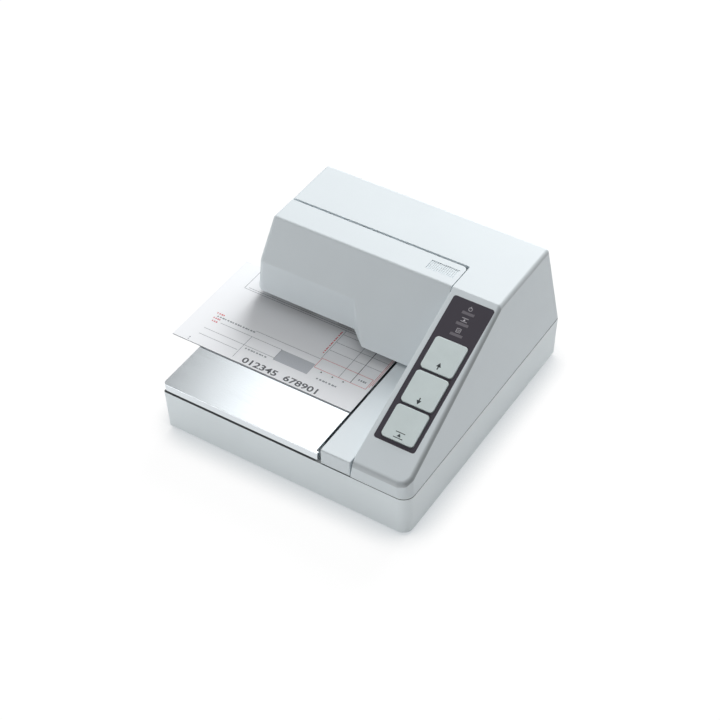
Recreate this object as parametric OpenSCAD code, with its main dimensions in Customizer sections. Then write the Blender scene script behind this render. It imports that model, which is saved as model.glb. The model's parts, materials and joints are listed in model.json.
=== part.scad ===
// Compact flat-bed dot matrix slip printer, in millimetres.
// X points right, Y points to the rear and Z up. The origin is on the surface the feet
// stand on, under the middle of the whole outline, which takes in the slip where it reaches
// out at the left. The slip lies on the table, loaded to the print line.

/* [Case] */
// Width of the case at the parting line
case_w = 180; // [176:1:200]
// Depth of the case at the parting line
case_d = 190; // [186:1:210]
// Height of the flat top above the surface it stands on
top_z = 95; // [93:1:105]
// Height of the parting line between the two mouldings
parting_z = 33; // [32:0.5:34]
// How far each side of the upper moulding leans in by the top
side_draft = 6; // [4:0.5:7]
// How far the rear wall leans in by the top
rear_draft = 7.2; // [4:0.5:8]
// How far the lower moulding draws in at its base
base_draft = 1.1; // [0.5:0.1:2]
// Radius of the round front right corner
corner_r = 8; // [6:0.5:10]
// Radius of the other three upright corners
small_corner_r = 1.5; // [0.5:0.1:3]
// Radius of the upper edges
edge_r = 3; // [2.8:0.1:3.6]
// Wall thickness of the mouldings
wall = 2.5; // [2:0.1:2.8]
// Height that the feet lift the case
foot_h = 2; // [1.5:0.5:3]
// Radius of a foot
foot_r = 8; // [6:0.5:9]
// Depth of the seat that each foot is glued into
foot_seat = 1; // [0.8:0.1:1.4]

/* [Control block] */
// Width of the sloping block right of the cover
block_w = 40.5; // [40:0.5:42]
// Distance from the rear wall to the crest where the top ends
top_d = 70.6; // [68:0.2:72]
// Height of the front edge of the slope
slope_front_z = 44.8; // [44:0.2:47]
// Width of the dark panel sheet
panel_w = 28.5; // [27.5:0.1:29]
// Length of the dark panel sheet down the slope
panel_l = 103.3; // [102:0.1:105]
// Thickness of the panel sheet
panel_t = 0.6; // [0.4:0.1:0.8]
// Distance from the crest to the sheet's upper end
panel_top_s = 4.5; // [3.8:0.1:6]
// Distance from the block's left wall to the sheet
panel_margin_x = 3.8; // [3.4:0.1:4.4]
// Side of a square key
key_size = 22.4; // [20:0.1:22.6]
// Pitch of the keys down the slope
key_pitch = 24.5; // [23.9:0.1:24.6]
// How far a key stands out of the sheet
key_proud = 0.9; // [0.7:0.1:1.2]
// Travel of a key
key_travel = 0.6; // [0.4:0.1:0.6]
// Length of an indicator bar
lamp_w = 8.5; // [7:0.1:10]
// Height of an indicator bar
lamp_h = 1.9; // [1.5:0.1:2.5]

/* [Ribbon cover] */
// Depth of the cover's flat top
cover_top_d = 19.9; // [19:0.1:20.4]
// Seam between the cover and the case behind it
seam_gap = 1.8; // [1.2:0.1:2.2]
// Running gap between the cover and the block
cover_gap = 0.6; // [0.4:0.1:0.8]
// Wall thickness of the cover
cover_wall = 2.2; // [1.8:0.1:2.4]
// Height of the cover's lower edge
cover_z = 47; // [46.5:0.1:47.5]
// Height of the crease where the front face breaks to near upright, as a share of the cover's
crease_share = 0.4625; // [0.45:0.0025:0.475]
// How far the near upright face leans over its height
crease_lean = 3.4; // [2.5:0.1:3.8]
// How far forward the sloping front face runs from the crest to the crease
cover_run = 17.2; // [17:0.1:17.4]
// How far the cover's left end draws in at its foot
cover_tuck = 1.5; // [0.5:0.1:1.8]
// Length of the ribbed thumb grip
grip_w = 20.3; // [16:0.1:24]
// Depth of the ribbed thumb grip
grip_d = 8.5; // [7:0.1:9]
// Radius of the cover hinge pin
cover_pin_r = 1.2; // [1:0.05:1.3]

/* [Slip table] */
// Height of the table's top face
table_z = 39.8; // [39.4:0.1:40]
// Thickness of the steel table
table_t = 1; // [0.8:0.1:1.2]
// Depth of the folded lip
table_lip = 5.5; // [4.5:0.1:5.6]
// Width of the moulded side guide
guide_w = 20.7; // [19.5:0.1:21]
// Open gap between the table and the side guide
guide_gap = 2.6; // [2:0.1:3.2]
// How far the table's right edge steps back behind its front strip
table_step = 1.8; // [1:0.1:2]
// Height of the side guide's top face
guide_z = 45; // [44:0.1:45.5]
// Width of the paper slip
slip_w = 136.2; // [120:0.1:137]
// Length of the paper slip
slip_l = 83.3; // [70:0.1:86]
// Thickness of the paper slip
slip_t = 0.3; // [0.25:0.01:0.35]

/* [Print mechanism] */
// Distance from the slip's rear edge to the print line
print_margin = 4; // [3.9:0.1:4.2]
// Depth of the platen bar
platen_d = 7; // [6:0.1:7.6]
// Radius of the carriage's guide shaft
guide_shaft_r = 3; // [2.8:0.05:3.1]
// Radius of the rear guide shaft
rear_shaft_r = 2; // [1.8:0.05:2.2]
// Width of the head carriage
carriage_w = 22; // [20:0.5:23]
// Radius of the print head's body
head_r = 11.5; // [10:0.1:11.7]
// Radius of a feed roller
feed_roller_r = 5; // [4.8:0.05:5.1]
// Radius of the feed shaft
feed_shaft_r = 2; // [1.8:0.05:2.2]
// Radius of a pinch roller
pinch_roller_r = 3.5; // [3.3:0.05:3.6]
// Radius of the pinch shaft
pinch_shaft_r = 1.5; // [1.3:0.05:1.6]
// Width of each roller
roller_w = 10; // [8:0.5:11]
// Pitch radius of the belt pulleys
pulley_r = 6; // [5.8:0.05:6.2]
// Width of the timing belt
belt_w = 5; // [4:0.1:5.2]
// Tooth module of the feed gears
gear_module = 0.5; // [0.45:0.01:0.5]
// Teeth on the feed shaft's gear
feed_teeth = 36; // [34:2:36]
// Teeth on the middle gear
idler_teeth = 28; // [26:2:28]
// Teeth on the motor's pinion
pinion_teeth = 12; // [12:1:13]
// Thickness of the frame's side plates
plate_t = 1.5; // [1.2:0.1:1.6]
// Radial clearance of every running fit
run_fit = 0.05; // [0.03:0.01:0.08]
// How far the form stopper rises
stopper_travel = 4.2; // [3.5:0.1:4.4]

/* [Rear and boards] */
// Distance between the two jack posts of the data connector
jack_pitch = 47.04; // [47.04]
// Radius of the thread in a jack post
jack_hole_r = 1.2; // [1.1:0.05:1.3]
// Thickness of the circuit boards
board_t = 1.6; // [1.2:0.1:2]
// Height of the main board's underside
board_z = 9; // [8.5:0.1:9.6]
// Tilt of the power rocker when it is switched over
rocker_tilt = 12; // [8:1:14]

/* [Hidden] */

$fn = 48;
eps = 0.01;
// Small fixed clearances: seated faces, free moving faces and held screws
seat = 0.1;
free = 0.3;
screw_r = 1.5;
screw_head_r = 2.8;
screw_head_h = 1.8;

half_w = case_w / 2;
front_y = -case_d / 2;
rear_y = case_d / 2;
floor_z = foot_h + wall;
block_x = half_w - block_w;
crest_y = rear_y - top_d;
front_lean = 0.8;
slope_a = atan((top_z - slope_front_z) / (crest_y - front_y - front_lean));
base_chamfer = 0.4;
// Thin gap all round between the two mouldings
gap_h = 0.5;
gap_deep = 1.2;
seam_y = crest_y + cover_top_d;
bay_y = seam_y + seam_gap;
cover_right = block_x - cover_gap;
cover_corner_r = 3;
bay_corner_r = 1.5;
crease_z = cover_z + crease_share * (top_z - cover_z);
cover_slope = atan((top_z - crease_z) / cover_run);

// Height of the sloping plane of the block at a depth y
function slope_z(y) = top_z - (crest_y - y) * tan(slope_a);
// Half width of the leaning upper case at a height z
function side_x(z) = half_w - (z - parting_z) * side_draft / (top_z - parting_z);
// Place of the cover's left end at a height z
function cover_left(z) = -side_x(z) + cover_tuck * (top_z - z) / (top_z - cover_z);
// Depth of the leaning rear wall at a height z
function back_y(z) = rear_y - (z - parting_z) * rear_draft / (top_z - parting_z);

// Table, slip and print line
table_left = -half_w;
table_front = front_y + 0.5;
guide_right = block_x - 0.4;
guide_left = guide_right - guide_w;
table_right = guide_left - guide_gap;
slip_z = table_z + free;
slip_top = slip_z + slip_t;
sheet_right = table_right - table_step;
slip_right = sheet_right + free;
slip_left = slip_right - slip_w;
slip_rear = crest_y + 3.6;
slip_front = slip_rear - slip_l;
print_y = slip_rear - print_margin;
// Shift that puts the origin under the middle of the whole outline
centre_x = -(min(slip_left, table_left) + half_w) / 2;

// Frame of the mechanism
frame_left = -half_w + 13;
frame_right = block_x - 8.5;
plate_in_left = frame_left + plate_t;
throat_back = slip_rear + 5.6;
deck_z = table_z - table_t - 2;
deck_t = 1.5;
deck_in = 19;
deck_rear = rear_y - deck_in;
frame_front = crest_y - 22;
frame_foot_z = floor_z + 3;
frame_top = cover_z + 19;
feed_y = crest_y - 14;
feed_z = table_z - feed_roller_r;
pinch_z = slip_top + pinch_roller_r + free;
main_shaft_y = slip_rear + 12;
main_shaft_z = table_z + 13.2;
rear_shaft_y = main_shaft_y + 11;
rear_shaft_z = main_shaft_z + 7;
belt_y = rear_shaft_y + 11;
belt_z = deck_z + deck_t + 7.8;
roller_places = [-50, -20, 10];
finger_places = [-49, -18, 13];
finger_w = 5;

// Cassette, carriage and head
arm_w = 9;
cassette_left = plate_in_left + 4.6;
cassette_right = frame_right - 4;
cassette_front = print_y - 8;
cassette_d = 16;
cassette_top = cover_z + 0.646 * (top_z - cover_z);
cassette_body_h = 10.5;
head_x = cassette_right - arm_w - carriage_w / 2 - 1.5;
carriage_z = table_z + 6.8;
cradle_z = carriage_z + 5.6;
cradle_t = 2;
head_h = cassette_top - cassette_body_h - free - cradle_z - cradle_t;
ribbon_z = slip_top + 1.1;
ribbon_w = 9;
ribbon_t = 0.2;
spindle_x = cassette_right - arm_w / 2;
spindle_z = main_shaft_z + 8;

// Feed gears, from the feed shaft down to the motor
gear_w = 3;
gear_x = frame_right + plate_t + 0.6;
feed_gear_r = feed_teeth * gear_module / 2;
idler_gear_r = idler_teeth * gear_module / 2;
pinion_r = pinion_teeth * gear_module / 2;
idler_a = -45;
pinion_a = -40;
idler_y = feed_y + (feed_gear_r + idler_gear_r) * cos(idler_a);
idler_z = feed_z + (feed_gear_r + idler_gear_r) * sin(idler_a);
pinion_y = idler_y + (idler_gear_r + pinion_r) * cos(pinion_a);
pinion_z = idler_z + (idler_gear_r + pinion_r) * sin(pinion_a);
feed_motor_r = 10.8;
feed_motor_l = 24;

// Release: pinch frame, solenoid and form stopper
pivot_y = main_shaft_y + 6;
pivot_z = table_z + 4.2;
pivot_r = 1.5;
pinch_arm_t = 1.2;
pinch_left_x = plate_in_left + 1.2;
pinch_right_x = frame_right - 1.3 - pinch_arm_t;
tail_y = pivot_y + 14;
tail_x = -20;
tail_w = 8;
stopper_y = slip_rear + free + 0.5;
stopper_t = 1.5;
stopper_top = table_z - 0.4;
stopper_bar_z = table_z - table_t - free - stopper_travel - 3;

// Cover hinge on the left
hinge_x = cover_left(cover_z) + 5.1;
hinge_z = cover_z + 3.5;
hinge_front_y = crest_y - 15.2;
hinge_rear_y = seam_y - 3.5;
knuckle_r = 2.8;
knuckle_w = 4;

// Rear interface
motor_x = frame_right - 8.2;
idler_pulley_x = plate_in_left + 7.6;
board_y = rear_y - 46;
board_d = 42;
board_left = -half_w + 18;
board_right = half_w - 22;
data_x = -18;
data_z = board_z + board_t + 7;
inlet_x = 48;
inlet_z = board_z + board_t + 7;
inlet_r = 6.5;
ground_x = inlet_x + 15;
ground_seat_y = rear_y - 2.2;
socket_face_y = rear_y - 1.4;
flange_y = rear_y - 7;
switch_y = rear_y - 33;
switch_z = 19;
switch_l = 19;
switch_h = 12;
switch_deep = 14;
screw_recess = 1.9;
case_screw_places = [[half_w - 12, front_y + 15], [half_w - 12, rear_y - 14],
    [-half_w + 11, rear_y - 14]];
foot_in_x = 24;
foot_in_y = 18;
foot_places = [for (sx = [-1, 1]) for (sy = [-1, 1])
    [sx * (half_w - foot_in_x), sy * (rear_y - foot_in_y)]];

// Puts a piece in the shared frame
module centred() translate([centre_x, 0, 0]) children();

// A point on the slope: x across, s down the slope from the crest, h out of its face
module on_slope(x, s, h = 0) {
    translate([x, crest_y, top_z]) rotate([slope_a, 0, 0]) translate([0, -s, h]) children();
}

// A flat rectangle with round corners, centred
module rounded_rect(w, d, r) {
    square([w - 2 * r, d], center = true);
    square([w, d - 2 * r], center = true);
    for (sx = [-1, 1]) for (sy = [-1, 1])
        translate([sx * (w / 2 - r), sy * (d / 2 - r)]) circle(r);
}

module rounded_plate(w, d, r, h) {
    linear_extrude(h) rounded_rect(w, d, r);
}

// A round bar along X from x0 to x1
module x_bar(x0, x1, y, z, r) {
    translate([x0, y, z]) rotate([0, 90, 0]) cylinder(h = x1 - x0, r = r);
}

// A round bar along Y from y0 to y1
module y_bar(x, y0, y1, z, r) {
    translate([x, y0, z]) rotate([-90, 0, 0]) cylinder(h = y1 - y0, r = r);
}

module x_tube(x0, x1, y, z, r, bore) {
    difference() {
        x_bar(x0, x1, y, z, r);
        x_bar(x0 - 1, x1 + 1, y, z, bore);
    }
}

// A box given by its lowest and highest corners
module span(low, high) {
    translate(low) cube([high[0] - low[0], high[1] - low[1], high[2] - low[2]]);
}

// A profile in (y, z) extruded along X from x0 to x1
module side_profile(x0, x1) {
    translate([x0, 0, 0]) rotate([90, 0, 90]) linear_extrude(x1 - x0) children();
}

// Outline of a spur gear whose tooth sides are straight, with a tooth on the X axis
module gear_outline(teeth, m) {
    root_r = m * (teeth / 2 - 1.2);
    tip_r = m * (teeth / 2 + 0.9);
    step = 360 / teeth;
    polygon([for (i = [0 : teeth - 1]) for (k = [[root_r, -0.36], [tip_r, -0.13],
        [tip_r, 0.13], [root_r, 0.36]]) k[0] * [cos(step * (i + k[1])), sin(step * (i + k[1]))]]);
}

// A gear on an axle along X, turned so that a tooth points along the angle a
module x_gear(x0, y, z, teeth, a, bore) {
    translate([x0, y, z]) rotate([90, 0, 90]) linear_extrude(gear_w) difference() {
        rotate(a) gear_outline(teeth, gear_module);
        circle(bore);
    }
}

// A pan-head screw that points along -Z, with its head's underside at the origin
module screw(length) {
    translate([0, 0, -length]) cylinder(h = length + eps, r = screw_r);
    difference() {
        cylinder(h = screw_head_h, r1 = screw_head_r, r2 = screw_head_r - 0.5);
        for (a = [0, 90]) rotate(a) translate([-1.7, -0.35, screw_head_h - 0.8]) cube([3.4, 0.7, 2]);
    }
}

// ---- Case ----

// Thin discs at the four corners of the lower moulding, drawn in by inset, at the height z
module tub_corners(inset, z) {
    for (sx = [-1, 1]) for (sy = [-1, 1]) {
        r = max((sx > 0 && sy < 0 ? corner_r : small_corner_r) - inset, 0.3);
        translate([sx * (half_w - inset - r), sy * (rear_y - inset - r), z])
            cylinder(h = eps, r = r, $fn = 32);
    }
}

// The lower moulding's outer form, drawn in by inset on every face
module tub_form(inset, top) {
    hull() {
        tub_corners(base_draft + base_chamfer + inset, foot_h + inset);
        tub_corners(base_draft + inset, foot_h + inset + base_chamfer);
        tub_corners(inset, top - eps);
    }
}

// A hollow moulded post that stands on the floor
module floor_post(place, top, r, bore) {
    translate([place[0], place[1], floor_z - eps]) difference() {
        cylinder(h = top - floor_z + eps, r = r);
        translate([0, 0, 1]) cylinder(h = top, r = bore);
    }
}

left_foot_x = frame_left + 7;
right_foot_x = frame_right + plate_t + 6;
frame_foot_ys = [frame_front + 10, board_y - 9];
frame_posts = [for (x = [left_foot_x, right_foot_x]) for (y = frame_foot_ys) [x, y]];
board_posts = [for (x = [board_left + 5, board_right - 5]) for (y = [board_y + 4, board_y + board_d - 5])
    [x, y]];
table_posts = [for (x = [table_left + 14, table_right - 8]) for (y = [front_y + 14, feed_y - 30.4]) [x, y]];
rib_t = 1.6;
floor_rib_h = 5;
floor_rib_xs = [-60, -30, 0];
cross_rib_y = front_y + 45;
guide_back = feed_y - feed_gear_r - 1.6;
guide_rib_ys = [front_y + 17, guide_back - 11.8];
guide_low = parting_z + gap_h;
rib_in = wall + base_draft + 0.2;

module lower_case() color("#c8d2d4") {
    difference() {
        tub_form(0, parting_z);
        tub_form(wall, parting_z + 0.5);
        for (p = foot_places) translate([p[0], p[1], foot_h - eps])
            cylinder(h = foot_seat, r = foot_r + seat);
        for (p = case_screw_places) translate([p[0], p[1], 0]) {
            cylinder(h = parting_z, r = screw_r + 0.2);
            translate([0, 0, foot_h - 1]) cylinder(h = screw_recess + 1, r = screw_head_r + free);
        }
        data_cutout();
        y_bar(inlet_x, rear_y - 9, rear_y + 5, inlet_z, inlet_r + 0.4);
        y_bar(ground_x, rear_y - 9, rear_y + 5, inlet_z, screw_r + seat / 2);
        y_bar(ground_x, ground_seat_y, rear_y + 5, inlet_z, screw_head_r + 0.4);
        span([-half_w - 5, switch_y - switch_l / 2, switch_z - switch_h / 2],
            [-half_w + 8, switch_y + switch_l / 2, switch_z + switch_h / 2]);
    }
    for (p = case_screw_places) floor_tube(p, parting_z, 4.5, screw_r + 0.2);
    for (p = frame_posts) floor_post(p, frame_foot_z, 4.5, screw_r + seat / 2);
    for (p = board_posts) floor_post(p, board_z, 3.2, 1.2);
    for (p = table_posts) floor_post(p, table_z - table_t, 4, 1.2);
    // Ribs that stiffen the floor under the table
    for (x = floor_rib_xs) span([x - rib_t / 2, front_y + rib_in, floor_z - eps],
        [x + rib_t / 2, front_y + 71, floor_z + floor_rib_h]);
    span([-half_w + rib_in, cross_rib_y - rib_t / 2, floor_z - eps],
        [half_w - rib_in, cross_rib_y + rib_t / 2, floor_z + floor_rib_h]);
    guide_ledge();
    // Boss behind the ground screw
    difference() {
        y_bar(ground_x, rear_y - 9, ground_seat_y - 0.6, inlet_z, 3.6);
        y_bar(ground_x, rear_y - 8, rear_y, inlet_z, screw_r + seat / 2);
    }
}

// A tube open at both ends for a screw that comes up through the floor
module floor_tube(place, top, r, bore) {
    translate([place[0], place[1], foot_h + screw_recess]) difference() {
        cylinder(h = top - foot_h - screw_recess, r = r);
        translate([0, 0, -1]) cylinder(h = top, r = bore);
    }
}

// Two upright ribs that the side guide stands on
module guide_ledge() {
    for (y = guide_rib_ys)
        span([guide_left, y - rib_t / 2, floor_z - eps], [guide_right, y + rib_t / 2, guide_low]);
}

module upper_case() color("#e4ebf3") {
    difference() {
        union() {
            rear_form(0, parting_z);
            block_form(0, parting_z);
        }
        bay_cut();
        difference() {
            union() {
                rear_form(wall, parting_z - 1);
                block_form(wall, parting_z - 1);
            }
            bay_wall();
        }
        // The bay is open to the mechanism under a short lip
        span([-side_x(top_z) + wall, bay_y - 5, cover_z], [block_x - 2, bay_y + wall + 5, top_z - 9]);
        span([-side_x(cover_z) + wall, bay_y - 5, parting_z - 1],
            [block_x - 2, bay_y + wall + 5, cover_z + eps]);
        parting_gap();
        panel_cuts();
        for (p = case_screw_places) translate([p[0], p[1], parting_z - 1])
            cylinder(h = 9, r = screw_r + seat / 2);
    }
    for (p = case_screw_places) case_boss(p);
    block_rib();
    board_pegs();
}

// A thin slot cut all round the lower edge, which shows as a dark line
module parting_gap() {
    turn = corner_r - gap_deep;
    translate([0, 0, parting_z - 1]) linear_extrude(gap_h + 1) difference() {
        square([case_w + 10, case_d + 10], center = true);
        difference() {
            square([case_w - 2 * gap_deep, case_d - 2 * gap_deep], center = true);
            translate([half_w - corner_r, front_y]) square(corner_r);
        }
        translate([half_w - corner_r, front_y + corner_r]) circle(turn);
    }
}

module case_boss(place) {
    translate([place[0], place[1], parting_z]) difference() {
        cylinder(h = 12, r = 4);
        translate([0, 0, -1]) cylinder(h = 9, r = screw_r + seat / 2);
    }
    // A web ties the boss to the nearest side wall
    reach = place[0] > 0 ? [place[0] + 3, half_w - wall] : [-half_w + wall, place[0] - 3];
    span([reach[0], place[1] - 0.9, parting_z], [reach[1], place[1] + 0.9, parting_z + 11]);
}

// A rib across the inside of the sloping block, between the lamps and the keys
module block_rib() {
    deep = 5;
    rib_s = key_places[0] - key_size / 2 - 0.075 * lamp_space;
    right = side_x(top_z - rib_s * sin(slope_a) - wall) - wall + 0.2;
    on_slope(0, rib_s, -wall - deep) translate([block_x + wall - eps, -0.6, 0])
        cube([right - block_x - wall, 1.2, deep + 0.3]);
}

// Ball of radius max(r - inset, 0.3) tucked under faces that moved in by inset
function ball_r(r, inset) = max(r - inset, 0.3);
function ball_off(r, inset) = ball_r(r, inset) + inset;

// Upper case behind the crest, drawn in by inset, from height z0 up
module rear_form(inset, z0) {
    o = ball_off(edge_r, inset);
    r = ball_r(edge_r, inset);
    front = crest_y + o * tan(slope_a / 2);
    base_front = front - inset;
    hull() {
        translate([0, (base_front + rear_y - inset) / 2, z0])
            rear_base(case_w - 2 * inset, rear_y - inset - base_front, max(small_corner_r - inset, 0.3));
        for (sx = [-1, 1]) for (y = [front, back_y(top_z) - o])
            translate([sx * (side_x(top_z) - o), y, top_z - o]) sphere(r, $fn = 32);
    }
}

// A thin plate with square front corners and round rear corners
module rear_base(w, d, r) {
    linear_extrude(eps) {
        translate([0, -r / 2]) square([w, d - r], center = true);
        square([w - 2 * r, d], center = true);
        for (sx = [-1, 1]) translate([sx * (w / 2 - r), d / 2 - r]) circle(r, $fn = 32);
    }
}

// The sloping block right of the cover, drawn in by inset
module block_form(inset, z0) {
    small_r = 1.2;
    o = ball_off(edge_r, inset);
    r = ball_r(edge_r, inset);
    oc = ball_off(small_r, inset);
    rc = ball_r(small_r, inset);
    back = crest_y + o * tan(slope_a / 2);
    turn_r = corner_r - edge_r;
    base_x = block_x + inset;
    toe = front_y + front_lean;
    hull() {
        // Foot of the block, with its round front corner
        translate([0, 0, z0]) linear_extrude(eps) {
            translate([base_x, front_y + corner_r])
                square([half_w - inset - base_x, back + inset - front_y - corner_r]);
            translate([base_x, front_y + inset]) square([half_w - corner_r - base_x, corner_r]);
            translate([half_w - corner_r, front_y + corner_r]) circle(corner_r - inset, $fn = 32);
        }
        // Round front corner and right edge of the slope
        for (a = [0, 45, 90]) {
            y = toe + o + turn_r * (1 - sin(a));
            z = slope_z(y) - o / cos(slope_a);
            translate([side_x(z) - o - turn_r * (1 - cos(a)), y, z]) sphere(r, $fn = 32);
        }
        // Sharper left edge
        translate([block_x + oc, toe + o, slope_z(toe + o) - o / cos(slope_a)])
            rotate([0, 90, 0]) cylinder(h = eps, r = r, $fn = 32);
        translate([block_x + oc, toe + oc + 4, slope_z(toe + oc + 4) - oc / cos(slope_a)])
            sphere(rc, $fn = 16);
        translate([block_x + oc, crest_y + oc * tan(slope_a / 2), top_z - oc]) sphere(rc, $fn = 16);
        translate([side_x(top_z) - o, back, top_z - o]) sphere(r, $fn = 32);
    }
}

// Space that the cover, the table and the mechanism stand in
module bay_cut() {
    r = bay_corner_r;
    far = half_w + 10;
    translate([0, 0, parting_z - 2]) linear_extrude(top_z) {
        difference() {
            translate([-far, front_y - 10]) square([far + block_x, bay_y - front_y + 10]);
            translate([block_x - r, bay_y - r]) square(r + eps);
        }
        translate([block_x - r, bay_y - r]) circle(r);
    }
}

// The walls that stay beside and behind the bay
module bay_wall() {
    span([-half_w - 10, front_y - 10, parting_z - 2], [block_x + wall, bay_y + wall, top_z + 1]);
}

// Places on the slope
panel_x = block_x + panel_margin_x + panel_w / 2;
panel_s = panel_top_s + panel_l / 2;
panel_end_s = panel_top_s + panel_l;
key_x = panel_x + 0.5;
release_s = panel_end_s - 2.8 - key_size / 2;
key_places = [release_s - 2 * key_pitch, release_s - key_pitch, release_s];
lamp_x = panel_x - 0.2;
lamp_space = key_places[0] - key_size / 2 - panel_top_s;
lamp_places = [for (i = [0 : 2]) panel_top_s + lamp_space * (0.292 + 0.268 * i)];
panel_r = 1.8;
lamp_r = 0.3;
key_corner_r = 2.3;
key_gap = 0.35;

module panel_cuts() {
    on_slope(panel_x, panel_s, -panel_t)
        rounded_plate(panel_w + 2 * seat, panel_l + 2 * seat, panel_r, panel_t + 5);
    for (s = key_places) on_slope(key_x, s, -8)
        rounded_plate(key_size + 2 * key_gap, key_size + 2 * key_gap, key_corner_r, 10);
    for (s = lamp_places) on_slope(lamp_x, s, -8)
        rounded_plate(lamp_w + 2 * seat, lamp_h + 2 * seat, lamp_r, 10);
}

// ---- Ribbon cover ----

crest_back = 0.37;
foot_slope = atan((crease_z - cover_z) / crease_lean);
wedge_foot_w = 47.5;
wedge_in_w = 59.6;
wedge_top_w = 62.7;
// Radii of the left end's edge at the top, the crease and the foot
cover_edge_r = 2.5;
crease_edge_r = 4.7;
foot_edge_r = 7;

// Depth of the cover's sloping front plane, and of its near upright lower plane, at a height z
function cover_y(z) = crest_y - crest_back - (top_z - z) / tan(cover_slope);
function foot_y(z) = cover_y(crease_z) - (crease_z - z) / tan(foot_slope);

// Centre (y, z) of a ball that touches two planes of slopes a and b from inside, o under each
function tuck(p, a, b, o) = p + o / cos((b - a) / 2) * [sin((a + b) / 2), -cos((a + b) / 2)];

// A disc in the flat right end, under the edge where planes of slopes a and b meet at p
module right_disc(p, a, b, inset) {
    c = tuck(p, a, b, ball_off(cover_edge_r, inset));
    translate([cover_right - inset - eps, c[0], c[1]]) rotate([0, 90, 0])
        cylinder(h = eps, r = ball_r(cover_edge_r, inset), $fn = 32);
}

// The same edge's ball at the leaning left end
module left_ball(p, a, b, inset, edge) {
    o = ball_off(edge, inset);
    c = tuck(p, a, b, o);
    translate([cover_left(c[1]) + o, c[0], c[1]]) sphere(ball_r(edge, inset), $fn = 32);
}

// Body of the cover, drawn in by inset, from the height low to the depth rear
module cover_body(inset, low, rear) {
    o = ball_off(cover_edge_r, inset);
    right = cover_right - inset;
    corner = cover_corner_r - inset / 2;
    turn = foot_edge_r - inset;
    front = foot_y(low) + inset / sin(foot_slope);
    left = cover_left(low) + inset;
    top_p = [cover_y(top_z), top_z];
    crease_p = [cover_y(crease_z), crease_z];
    hull() {
        left_ball(top_p, 0, cover_slope, inset, cover_edge_r);
        right_disc(top_p, 0, cover_slope, inset);
        left_ball(crease_p, cover_slope, foot_slope, inset, crease_edge_r);
        right_disc(crease_p, cover_slope, foot_slope, inset);
        translate([left + turn, front + turn, low]) cylinder(h = eps, r = turn, $fn = 32);
        span([right - 1, front, low], [right, rear - corner, low + eps]);
        span([left, rear - 1, low], [right - corner, rear, low + eps]);
        y_bar(cover_left(top_z) + o, rear - eps, rear, top_z - o, ball_r(cover_edge_r, inset), $fn = 32);
        for (z = [low, top_z - inset - eps]) translate([right - corner, rear - corner, z])
            cylinder(h = eps, r = corner, $fn = 32);
    }
}

// The right part of the front, which keeps its slope down to the lower edge
module cover_wedge(inset, low) {
    r = ball_r(cover_edge_r, inset);
    right = cover_right - inset;
    crease_p = [cover_y(crease_z), crease_z];
    top = tuck(crease_p, cover_slope, cover_slope, ball_off(cover_edge_r, inset));
    front = cover_y(low) + inset / sin(cover_slope);
    tip_r = 1.2;
    hull() {
        translate([block_x - wedge_top_w + ball_off(cover_edge_r, inset), top[0], top[1]])
            sphere(r, $fn = 32);
        right_disc(crease_p, cover_slope, cover_slope, inset);
        translate([block_x - wedge_foot_w + inset + tip_r, front + tip_r + inset, low])
            cylinder(h = eps, r = tip_r, $fn = 32);
        span([right - 1, front, low], [right, front + 1, low + eps]);
        span([block_x - wedge_in_w + 1.2 * inset, foot_y(low) + inset, low],
            [right, foot_y(low) + inset + 3, low + eps]);
    }
}

grip_x = cover_right - 2.6 - grip_w;
grip_y = seam_y - 4.8 - grip_d;
grip_deep = 0.5;
grip_pitch = 1.45;
hinge_ys = [hinge_front_y, hinge_rear_y - knuckle_w];

module ribbon_cover() color("#b4bfc1") {
    difference() {
        union() {
            cover_body(0, cover_z, seam_y);
            cover_wedge(0, cover_z);
        }
        cover_body(cover_wall, cover_z - 1, seam_y + 1);
        cover_wedge(cover_wall, cover_z - 1);
        translate([grip_x, grip_y, top_z - grip_deep]) cube([grip_w, grip_d, 2]);
    }
    for (x = [grip_x + 0.7 : grip_pitch : grip_x + grip_w - 0.6])
        translate([x, grip_y + 0.3, top_z - grip_deep - 0.1]) cube([0.7, grip_d - 0.6, grip_deep - 0.05]);
    for (y = hinge_ys) cover_knuckle(y);
    for (x = [-50, -15, 20]) cover_rib(x);
}

// A knuckle on the inside of the left wall
module cover_knuckle(y) {
    difference() {
        union() {
            y_bar(hinge_x, y, y + knuckle_w, hinge_z, knuckle_r);
            span([cover_left(hinge_z) + cover_wall / 2, y, hinge_z - knuckle_r + 0.4],
                [hinge_x, y + knuckle_w, hinge_z + knuckle_r - 0.4]);
        }
        y_bar(hinge_x, y - 1, y + knuckle_w + 1, hinge_z, cover_pin_r + run_fit);
    }
}

// A stiffening rib under the cover's top
module cover_rib(x) {
    low = top_z - cover_wall - 4;
    side_profile(x - 0.6, x + 0.6) polygon([[cover_y(low) + cover_wall, low], [seam_y - 3, low],
        [seam_y - 3, top_z - cover_wall + 0.3], [cover_y(top_z) + cover_wall, top_z - cover_wall + 0.3]]);
}

module cover_hinge_pin() color("#b9bcc0")
    y_bar(hinge_x, hinge_front_y - 0.6, hinge_rear_y + 0.6, hinge_z, cover_pin_r);

// ---- Slip table and guide ----

// Depth of the strip along the table's front edge that keeps the full width
table_strip = 2.2;

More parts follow.
